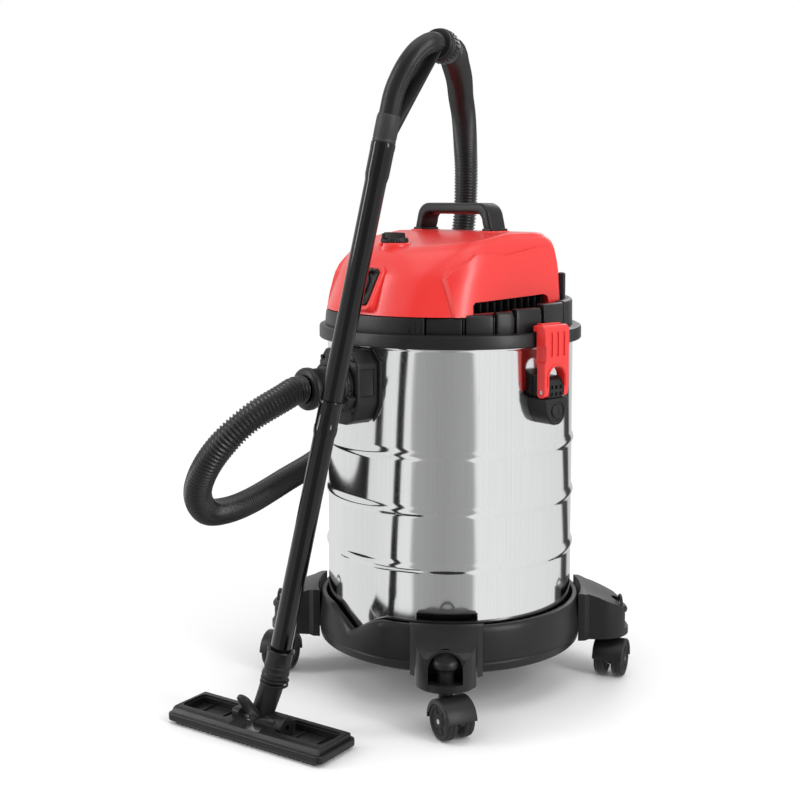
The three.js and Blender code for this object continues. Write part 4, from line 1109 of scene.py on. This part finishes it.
def makeInlet(c):
    face, inside = c["face"], c["connectorBore"]
    body = softened(plateOnFront(c["outline"], 62, face, inletLevel), c["soft"], 4, 25)
    flange = [(x * 1.13, z * 1.1) for x, z in c["outline"]]
    flange = softened(plateOnFront(flange, 40, 158, inletLevel), 2.2, 3, 25)
    drumSide = rod(160.5, 400, 0, 0, 200, 192)
    # the sunk panel above the ring, and one on each side
    panel = softened(block(30, 12, 9, 0, -face - 1, inletLevel + 29), 2, 3)
    sides = [softened(block(9, 22, 34, side * 39.5, -face + 16, inletLevel - 12), 2, 3) for side in (-1, 1)]
    body = cut(joined(body, flange), drumSide, panel, *sides)

    def barrel(radius, long, behind):
        return rodAlongY(radius, long, 0, -face + behind, inletLevel, 96)

    spigot = cut(barrel(c["radius"], 48, 2), barrel(c["bore"], 60, -1))
    rim = softened(cut(barrel(33.5, 6, 1), barrel(c["ringRoom"], 20, -5)), 1, 3, 50)
    body = cut(body, barrel(c["radius"] - 0.4, 90, -1), barrel(c["ringRoom"], 9, -1))
    screws = [moved(screwMesh(2.8), spin(90, "X"), shift(x, -face - 0.6, inletLevel + z)) for x, z in c["screws"]]
    addPiece("inlet_housing", together(body, spigot, rim, *screws), "drum_base", sharp=34)
    ring = turned([(inside, 0), (30, 0), (31.4, 1), (32, 2.4), (32, 4), (30.6, 4.8), (30.6, 9.4), (32, 10.2), (32, 12),
                   (31, 13.6), (29, 14), (26.5, 14), (25.8, 12.6), (24, 12.6), (23.4, 14), (inside, 14)],
                  steps=120, closed=True)
    grips = [moved(softened(block(2.4, 9, 5, 31.2, 0, 4.6), 0.8, 2), spin(turn)) for turn in range(15, 375, 30)]
    nose = turned([(inside, -7), (26.6, -7), (27, -6), (27, 0.4), (inside, 0.4)], steps=96, closed=True)
    lugs = [moved(softened(block(9, 17, 12, 34, 0, 1), 1.6, 3), spin(turn)) for turn in (90, 210, 330)]
    whole = moved(together(ring, nose, *grips, *lugs), spin(90, "X"), shift(0, -face - 0.3, inletLevel))
    addPiece("inlet_connector", whole, "connector", sharp=38)


def screwMesh(radius):
    head = turned([(0, 0), (radius, 0), (radius, 0.9), (radius * 0.75, 1.6), (0, 1.8)], steps=24)
    slots = [block(radius * 1.2, 0.7, 2, z=1, y=0), block(0.7, radius * 1.2, 2, z=1)]
    return cut(head, *slots)


makeInlet(inletShape)

# latches, drawn on the +X side
latchShape = {
    "wide": 44, "pinOut": 180, "pinLevel": 394, "top": 467, "flange": 171, "flangeTop": 465, "window": 14,
    "pin": 3.3, "emblemDrop": 24,
}


def pinBore(c):
    return rodAlongY(c["pin"], c["wide"] + 20, c["pinOut"], -c["wide"] / 2 - 10, c["pinLevel"], 32)


def clipMesh(c):
    hub, outside, pin, top, hook = c["pinOut"], c["pinOut"] + 7, c["pinLevel"], c["top"], c["flange"]
    side = slab([
        (hub - 6, pin - 4), (hub - 3, pin - 7), (outside - 4, pin - 7), (outside - 1, pin - 4), (outside, pin + 4),
        (outside, pin + 34), (outside + 0.8, pin + 40), (outside + 0.8, top - 6), (outside, top + 4),
        (outside - 4, top + 8), (hook - 2, top + 8), (hook - 4, top + 6.5), (hook - 4, top), (hook + 1.5, top),
        (hook + 1.5, c["flangeTop"] - 37), (hub - 6, c["flangeTop"] - 43)], c["wide"])
    side = softened(side, 1.5, 3, 20)
    half, spring = c["window"], pin + 17
    arch = [(-half, pin - 14), (half, pin - 14), *arc(0, spring, half, 0, 180, 18)]
    window = plateOnSide(arch, 60, outside + 30)
    grips = [softened(block(5, 4.2, 30, outside + 1.4, y, top - 30), 0.9, 3) for y in (-11, 0, 11)]
    waist = [softened(block(30, 6, 22, outside, edge * (c["wide"] / 2 + 1.4), pin + 36), 2.6, 4) for edge in (-1, 1)]
    body = cut(side, window, pinBore(c), *grips, *waist)
    lip = softened(moved(block(9, c["wide"] - 10, 2.4, hook + 2, 0, top + 7.2)), 1, 3)
    near, far = half + 1.2, half + 3
    frameArch = [(-far, pin + 6), (-near, pin + 6), *arc(0, spring, near, 180, 0, 18), (near, pin + 6),
                 (far, pin + 6), *arc(0, spring, far, 0, 180, 18)]
    rim = softened(plateOnSide(frameArch, 1.2, outside + 0.9), 0.35, 2, 50)
    return together(body, lip, rim)


def bracketMesh(c):
    hub, pin = c["pinOut"], c["pinLevel"]
    tongue = slab([(150, pin - 8), (hub + 5, pin - 8), (hub + 6, pin + 6), (hub + 3, pin + 14), (hub - 3, pin + 18),
                   (150, pin + 18)], (c["window"] - 0.4) * 2)
    tongue = softened(tongue, 1.2, 3, 20)
    cells = [softened(block(6, 5, 4.6, hub + 6.4, y, pin + z), 0.7, 2) for z in (-5.5, 3) for y in (-8, 0, 8)]
    half = c["wide"] / 2 - 1
    cup = [(-half, pin - 8), (-half + 0.5, pin - 20), (-half + 5, pin - 31), (-half + 11, pin - 38), (-5, pin - 41),
           (5, pin - 41), (half - 11, pin - 38), (half - 5, pin - 31), (half - 0.5, pin - 20), (half, pin - 8)]
    cup = softened(plateOnSide(cup, 40, hub + 8), 2.6, 4, 25)
    level = pin - c["emblemDrop"]
    dish = softened(moved(rod(12.5, 4, sides=64), spin(90, "Y"), shift(hub + 6.6, 0, level)), 0.8, 2, 50)
    drumSide = rod(160.4, 400, 0, 0, 200, 192)
    body = cut(joined(cut(tongue, *cells), cup), drumSide, pinBore(c), dish)
    boss = turned([(0, 0), (8.8, 0), (8.8, 1), (8, 1.7), (5.4, 1.9), (4.8, 1.3), (0, 1.3)], steps=64)
    return together(body, moved(boss, spin(90, "Y"), shift(hub + 6.4, 0, level)))


def makeLatches(c):
    clip, bracket = clipMesh(c), bracketMesh(c)
    for side, turn in (("right", 0), ("left", 180)):
        addPiece("latch_clip_" + side, moved(clip.copy(), spin(turn)), "latch_" + side, "red moulding",
                 bevel=0.35, segments=2, angle=50)
        addPiece("latch_bracket_" + side, moved(bracket.copy(), spin(turn)), "drum_base", bevel=0.35, segments=2,
                 angle=50)
    clip.free()
    bracket.free()


makeLatches(latchShape)
print("inlet and latches made")

# lid
lidShape = {
    "flange": 171, "flangeTop": 465, "wall": 149, "coverBase": 486, "drumTop": 450, "hole": 17, "plateTop": 461,
    "bandFrom": -125, "bandSweep": 70, "steps": 192, "grooves": (-61.2, -58.8, -56.4),
    "ribs": (-38, -24.2, -14.6, 1.4), "spigot": 157.3, "skirt": 166.5, "rear": (14, 152),
    # a panel's start and sweep round the wall, and how high it stands
    "panels": [(-54.4, 15.6, 485.6), (-37, 12, 488.5), (-23.2, 7.8, 491), (-13.6, 14, 494), (2.4, 17, 498),
               (20.2, 46, 499)],
    "post": ((112, 92), 38),   # place and turn
}


def makeLid(c):
    flange, top, wall, base, drumTop = c["flange"], c["flangeTop"], c["wall"], c["coverBase"], c["drumTop"]
    spigot, skirt, hole, plate = c["spigot"], c["skirt"], c["hole"], c["plateTop"]
    ring = turned([
        (hole, plate - 5), (spigot - 7, plate - 5), (spigot - 7, drumTop - 13), (spigot - 6, drumTop - 14),
        (spigot - 1, drumTop - 14), (spigot, drumTop - 12), (spigot, drumTop + 3.5), (skirt, drumTop + 3.5),
        (skirt, top - 16), (skirt + 0.8, top - 17), (flange - 1, top - 17), (flange, top - 16), (flange, top - 3),
        (flange - 0.9, top - 1), (flange - 3, top), (wall + 6, top), (wall + 2.5, top + 0.8), (wall, top + 3.5),
        (wall, base - 5), (wall - 0.8, base - 4), (wall - 0.8, base - 0.5), (112, base - 0.5), (112, base - 4),
        (wall - 4, base - 4), (wall - 4, plate), (hole, plate)], steps=c["steps"], closed=True)
    band = turned([
        (wall - 3, top - 2), (163.4, top - 2), (163.8, top), (163.6, top + 6), (162.8, base - 5),
        (161.8, base - 1.4), (160, base - 0.4), (wall - 3, base - 0.4)],
        steps=64, closed=True, start=c["bandFrom"], sweep=c["bandSweep"])
    grooves = [moved(softened(block(3, 2.6, 14, 163.8, 0, top + 2), 0.9, 3), spin(turn)) for turn in c["grooves"]]
    band = cut(softened(band, 0.9, 3, 50), *grooves)
    extras = []
    for mirror in (1, -1):
        for start, sweep, high in c["panels"]:
            panel = turned([(wall - 2, top - 1), (159.5, top - 1), (159.2, high - 3), (158.2, high - 1),
                            (156.5, high), (wall - 2, high)],
                           steps=max(4, round(sweep * 0.7)), closed=True, start=start, sweep=sweep)
            extras.append(moved(softened(panel, 0.9, 3, 50), mirrorX(mirror)))
        for turn in c["ribs"]:
            rib = softened(block(9, 1.6, 22, wall + 3.5, 0, top - 1.5), 0.4, 2)
            extras.append(moved(rib, spin(turn), mirrorX(mirror)))
        post = softened(block(10, 13, 44, 0, 0, 0), 3, 4)
        extras.append(moved(post, spin(c["post"][1]), shift(*c["post"][0], 488), mirrorX(mirror)))
    start, sweep = c["rear"]
    rear = turned([(wall - 4, base - 4), (wall + 1, base - 4), (wall + 0.4, base + 7), (wall - 4, base + 9),
                   (wall - 9, base + 9), (wall - 9, base - 0.6)], steps=80, closed=True, start=start, sweep=sweep)
    rear = softened(rear, 0.9, 3, 50)
    for bm in extras:
        bmesh.ops.recalc_face_normals(bm, faces=bm.faces)
    addPiece("lid_ring", together(ring, band, rear, *extras), "head", sharp=36)


makeLid(lidShape)

# motor cover
coverShape = {
    "base": 486, "height": 98, "power": 12, "frontDrop": 16, "steps": 216, "knobPlace": -97,
    # share of the height, then how far the front, side and rear walls stand out
    "rows": [(0, 163, 125, 88), (0.55, 144, 121, 87), (0.82, 130, 117, 83), (0.95, 119, 111, 78), (1, 102, 101, 68)],
    "levels": (0, 0.03, 0.2, 0.38, 0.5, 0.6, 0.7, 0.78, 0.85, 0.9, 0.94, 0.97, 0.99, 1.0),
    "innerLevels": (0, 0.3, 0.55, 0.82, 0.95, 1.0), "wall": 4, "roof": 3, "panelProud": 5.2,
    # (y, z) of the side panel and its opening for the vents
    "panel": [(-108, 480), (-108, 531), (-100, 540), (-76, 554), (-68, 560), (-24, 558), (-16, 558.5), (34, 566),
              (60, 566), (66, 560), (66, 480)],
    "vent": [(-85, 482), (-84, 499), (-80, 503), (40, 507.5), (46, 505), (48, 500), (48, 482)],
}


def coverReach(share, c):
    share = min(1.0, max(0.0, share))
    rows = c["rows"]
    for low, high in zip(rows, rows[1:]):
        if share <= high[0]:
            part = (share - low[0]) / (high[0] - low[0])
            return [a + (b - a) * part for a, b in zip(low[1:], high[1:])]
    return list(rows[-1][1:])


def coverRadius(angle, reach, grow, c):
    front, side, rear = reach
    total = 0.0
    for facing, distance in ((-90, front), (-53, front), (-127, front), (0, side), (180, side), (90, rear)):
        toward = math.cos(angle - math.radians(facing))
        total += (max(0.0, toward) / (distance + grow)) ** c["power"]
    return total ** (-1 / c["power"])


def coverBody(c, grow, steps, levels):
    rows = [(1, share * c["height"]) for share in levels]
    top = [(part, c["height"]) for part in (0.985, 0.95, 0.85, 0.6, 0.3)]
    bm = turned([(0, 0), *rows, *top, (0, c["height"])], steps=steps)
    for vert in bm.verts:
        x, y, z = vert.co
        part = math.hypot(x, y)
        if part < 1e-6:
            continue
        turn, share = math.atan2(y, x), z / c["height"]
        near = [coverReach(share + step, c) for step in (-0.05, 0.0, 0.05)]
        reach = [sum(values) / 3 for values in zip(*near)] if 0.05 < share < 0.999 else coverReach(share, c)
        if share > 0.999:
            reach = [value - 1.5 for value in reach]
        radius = coverRadius(turn, reach, grow, c) * part
        forward = max(0.0, -radius * math.sin(turn))
        drop = c["frontDrop"] * share ** 2 * forward / coverReach(share, c)[0]
        crown = 1.2 * share ** 6 * (1 - part ** 2) if share > 0.999 else 0
        sink = grow * share if grow < 0 else 0
        vert.co = (radius * math.cos(turn), radius * math.sin(turn), z - drop + crown + sink)
    return moved(bm, shift(z=c["base"]))


# A piece drawn flat is laid on the cover's sloped front.
def onSlope(bm):
    return moved(bm, spin(62, "X"), shift(0, -149, 517))


# An outline drawn as (y, z) and pushed along X, from near to far.
def sidePush(outline, near, far):
    lay = Matrix(((0, 0, 1, near), (1, 0, 0, 0), (0, 1, 0, 0), (0, 0, 0, 1)))
    return moved(pushed(outline, far - near), lay)


def makeCover(c):
    body = coverBody(c, 0, c["steps"], c["levels"])
    for side in (1, -1):
        region = onSide(sidePush(c["panel"], 60, 150), side)
        skin = common(coverBody(c, c["panelProud"], 144, c["levels"]), region)
        body = joined(body, skin)
    knobPlace = c["knobPlace"]
    socketFrame = onSlope(softened(moved(pushed(roundedRect(60, 60, 8), 14), shift(z=-9.2)), 2.4, 4, 40))
    knobBoss = turned([(0, 540), (25, 540), (22.5, 566), (21.6, 570.6), (20, 572), (0, 572)], steps=96)
    moved(knobBoss, shift(0, knobPlace, 0))
    pads, rearBosses = [], []
    for side in (-1, 1):
        pads.append(softened(moved(pushed(roundedRect(26, 38, 7), 9), shift(side * 65, 17, 577)), 2, 3, 40))
        boss = moved(rod(7, 12, sides=48), spin(-90, "X"), shift(side * 52, 78, 532))
        rearBosses.append(softened(boss, 2.6, 4, 40))
    body = joined(body, socketFrame, knobBoss, *pads, *rearBosses)
    inner = moved(coverBody(c, -c["wall"], 96, c["innerLevels"]), shift(z=-c["roof"]))
    socketSeat = onSlope(moved(pushed(roundedRect(50.5, 50.5, 5.5), 20), shift(z=3)))
    cuts = [inner, socketSeat, onSlope(block(40, 40, 60, 0, 0, -40)), rod(4.3, 40, 0, knobPlace, 545, 32),
            softened(block(5, 5, 6, 0, knobPlace - 21, 568), 1, 2)]
    cuts += [onSide(sidePush(c["vent"], 105, 150), side) for side in (1, -1)]
    addPiece("motor_cover", cut(body, *cuts), "head", "red moulding", bevel=1.1, segments=4, angle=40)


makeCover(coverShape)

grilleShape = {
    "back": 112.5, "fins": 11, "from": -82, "to": 46, "sill": 486.4, "finTurn": 14, "finHigh": (14.2, 4.4),
    "plate": [(-83.5, 486.2), (-82.5, 499), (-79, 501.5), (39.5, 506), (45, 503.5), (46.5, 499), (46.5, 486.2)],
}


def makeGrilles(c):
    back, seat, long, middle = c["back"], c["sill"], c["to"] - c["from"], (c["from"] + c["to"]) / 2
    low, rise = c["finHigh"]
    for name, side in (("right", 1), ("left", -1)):
        plate = sidePush(c["plate"], back - 1.2, back + 1.4)
        fins = []
        for i in range(c["fins"]):
            y = c["from"] + 3 + (long - 6) * i / (c["fins"] - 1)
            tall = low + rise * i / (c["fins"] - 1)
            fin = moved(block(8.5, 1.7, tall, 0, 0, seat), spin(c["finTurn"]), shift(back + 5, y, 0))
            fins.append(softened(fin, 0.5, 2))
        rail = softened(block(3, long - 2, 1.6, back + 4, middle, seat), 0.5, 2)
        sill = softened(block(3.2, long - 1, 3, back + 12.6, middle, seat - 0.2), 0.8, 3)
        # the sill is red darkened as painted shade
        addPiece("vent_sill_" + name, onSide(sill, side), "head", "red moulding with painted shade")
        addPiece("vent_grille_" + name, onSide(together(plate, *fins, rail), side), "head", sharp=36)


makeGrilles(grilleShape)

carryHandleShape = {"half": 72, "under": 23, "top": 36, "depth": 30, "place": 17, "seat": 585.3}


def makeCarryHandle(c):
    half, top, under = c["half"], c["top"], c["under"]
    outer = [(half, 0), (half - 3.5, 13), *arc(half - 25, top - 20, 20, 18, 90, 12)]
    innerX = half - 14
    inner = [(innerX, 0), (innerX - 3.5, under - 12), *arc(innerX - 15.5, under - 12, 12, 0, 90, 8)]
    outline = [*outer, *[(-x, z) for x, z in reversed(outer)], *[(-x, z) for x, z in inner], *reversed(inner)]
    clean = []
    for point in outline:
        if not clean or math.dist(point, clean[-1]) > 0.2:
            clean.append(point)
    arch = softened(slab(clean, c["depth"]), 4.2, 6, 50)
    seat = shift(0, c["place"], c["seat"])
    slots, feet = [], []
    for side in (-1, 1):
        slots.append(softened(block(5, 8, 12, side * (half + 1), 0, 9), 1.2, 3))
        foot = moved(pushed(roundedRect(20, c["depth"] + 2, 5), 3.4), shift(side * (half - 7.5), 0, 0))
        feet.append(softened(foot, 0.9, 2, 40))
    arch = cut(arch, *slots)
    # a pad with finger ribs under the grip
    ribs = [softened(block(1.8, c["depth"] - 12, 1.2, x, 0, under - 1.6), 0.4, 2) for x in range(-33, 34, 6)]
    grip = together(softened(block(76, c["depth"] - 9, 2, 0, 0, under - 0.9), 0.7, 3), *ribs)
    # the pad under the grip is red darkened as painted shade
    addPiece("handle_underside", moved(grip, seat), "head", "red moulding with painted shade")
    addPiece("carry_handle", moved(together(arch, *feet), seat), "head", sharp=40)


makeCarryHandle(carryHandleShape)

knobShape = {
    "radius": 17, "seat": 572.3, "place": -97, "teeth": 36, "toothDepth": 0.018,   # a share of the radius
    "wedge": [(-4.2, -19), (0, -21), (4.2, -19), (6, -4), (5.2, 12), (3.4, 16), (-3.4, 16), (-5.2, 12), (-6, -4)],
    "wedgeHigh": 8.5, "wedgeTaper": 0.72, "wedgeArch": 0.006,
}


def makeKnob(c):
    r = c["radius"]
    dial = turned([(0, 0), (r, 0), (r + 0.4, 0.8), (r, 4.6), (r - 1, 6), (0, 6.4)], steps=c["teeth"] * 4)
    for vert in dial.verts:
        x, y, z = vert.co
        if math.hypot(x, y) > r - 0.5 and z > 0.5:
            grow = 1 + c["toothDepth"] * math.cos(math.atan2(y, x) * c["teeth"])
            vert.co.x, vert.co.y = x * grow, y * grow
    wedge = pushed(c["wedge"], c["wedgeHigh"])
    for vert in wedge.verts:
        if vert.co.z > 5:
            vert.co.x *= c["wedgeTaper"]
            vert.co.z -= c["wedgeArch"] * (vert.co.y + 2) ** 2
    wedge = softened(moved(wedge, shift(z=5)), 1.1, 4, 25)
    pointer = softened(block(1.2, 9, 1, 0, -13, 12.0), 0.3, 2)
    spindle = rod(4, 12, 0, 0, -11, 32)
    whole = moved(together(dial, wedge, pointer, spindle), shift(0, c["place"], c["seat"]))
    addPiece("selector_knob", whole, "knob", sharp=40)


makeKnob(knobShape)

socketShape = {"side": 48, "face": 3.3, "bore": 17, "hinge": (20.5, 10.3), "screwReach": 19, "pinReach": 9.5}


def makeSocket(c):
    face, up, out = c["face"], *c["hinge"]
    bore, far = c["bore"], c["screwReach"]
    corners = [(x, y) for x in (-far, far) for y in (-far, far)]
    plate = softened(moved(pushed(roundedRect(c["side"], c["side"], 5), 4), shift(z=face)), 1, 3, 40)
    cup = block(c["side"] - 9, c["side"] - 9, 22, 0, 0, face - 21)
    bezel = turned([(bore, face + 3), (bore + 3, face + 3), (bore + 2.4, face + 4.6), (bore + 0.6, face + 4.8),
                    (bore, face + 4.2)], steps=72, closed=True)
    screwWells = [softened(rod(3.6, 4, x, y, face + 2.8, 32), 0.4, 2, 50) for x, y in corners]
    body = cut(joined(plate, cup), rod(bore, 17.6, 0, 0, face - 13.6, 72), *screwWells)
    pin = [(0, 0), (2.4, 0), (2.4, 6), (1.8, 8), (0, 9)]
    pins = [moved(turned(pin, steps=32), shift(side * c["pinReach"], 0, face - 13.8)) for side in (-1, 1)]
    screws = [moved(screwMesh(2.7), shift(x, y, face + 2.8)) for x, y in corners]
    ears = [cut(softened(block(3, 6, 9, side * 10.5, up, face + 3), 1, 3), rodAlongX(1.8, 30, 0, up, out))
            for side in (-1, 1)]
    addPiece("socket_plate", onSlope(together(body, bezel, *pins, *screws, *ears)), "head", sharp=36)
    lift = face + 5.2
    disc = turned([(0, lift), (18, lift), (18.5, lift + 0.6), (18.5, lift + 1.8), (17.2, lift + 2.8),
                   (13, lift + 3.3), (12.4, lift + 2.7), (0, lift + 2.9)], steps=96)
    arm = softened(block(14, 12, 2.6, 0, up - 8.5, lift + 0.2), 0.8, 3)
    knuckle = softened(rodAlongX(2.9, 17, 0, up, out), 0.6, 2, 50)
    trunnion = rodAlongX(1.5, 24, 0, up, out)
    grip = softened(block(10, 3, 3.2, 0, -18.2, lift + 0.2), 0.9, 3)
    addPiece("socket_flap", onSlope(together(disc, arm, knuckle, trunnion, grip)), "flap", sharp=38)


makeSocket(socketShape)

outletShape = {
    "level": 505, "face": 151, "base": 486, "bore": 15,
    "gland": (149.3, 476, 124), "glandRings": 10,   # how far out, its level and its turn round the drum
}


def makeOutlet(c):
    face, base = c["face"], c["base"]
    plan = [(-50, 94), (50, 94), (50, face - 6), (40, face), (-40, face), (-50, face - 6)]
    box = softened(moved(pushed(plan, 38), shift(z=base)), 3, 4, 30)
    spout = turned([(14, 0), (18, 0), (18, 16), (18.8, 16.8), (18.8, 21), (18, 22), (17, 24), (14, 24)],
                   steps=96, closed=True)
    moved(spout, spin(-90, "X"), shift(0, face - 2, c["level"]))
    collar = softened(rodAlongY(23, 3, 0, face + 0.2, c["level"], 96), 1, 3, 50)
    louvres = [softened(block(18, 6, 1.8, x, face - 1, base + 6 + 4.4 * i), 0.6, 2)
               for x in (-33, 33) for i in range(6)]
    body = cut(joined(box, spout, collar), rodAlongY(c["bore"], 70, 0, face - 40, c["level"], 96), *louvres)
    addPiece("blower_outlet", body, "head", bevel=0.4, segments=2, angle=50)
    rings = c["glandRings"]
    sleeve = [(8 - 3 * i / rings - (0.9 if i % 2 else 0), 4.5 + 23 * i / rings) for i in range(rings, -1, -1)]
    gland = turned([(3.5, 3), (3.5, 28), (5, 28), *sleeve, (11, 4), (11, 1), (10, 0), (0, 0), (0, 3)], steps=64)
    out, level, turn = c["gland"]
    moved(gland, spin(90, "Y"), shift(out, 0, level), spin(turn))
    addPiece("cable_gland", gland, "head", "rubber", sharp=30)


makeOutlet(outletShape)
print("head made")

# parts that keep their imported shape
keptFinishes = {
    "lid_gasket": "rubber", "latch_pin_right": "turned metal", "latch_pin_left": "turned metal",
    "neck_pin": "turned metal", "fan_housing": "white moulding", "impeller": "turned metal", "motor": "laminated can",
    "motor_shaft": "turned metal", "filter_cage": "black moulding", "filter_cartridge": "filter paper",
    "float_ball": "white moulding", **{"caster_axle_" + corner: "turned metal" for corner in armShape["corners"]},
}
for node, look in keptFinishes.items():
    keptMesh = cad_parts[node].data
    keptMesh.materials.clear()
    keptMesh.materials.append(finish[look])
print("kept parts finished:", len(keptFinishes))
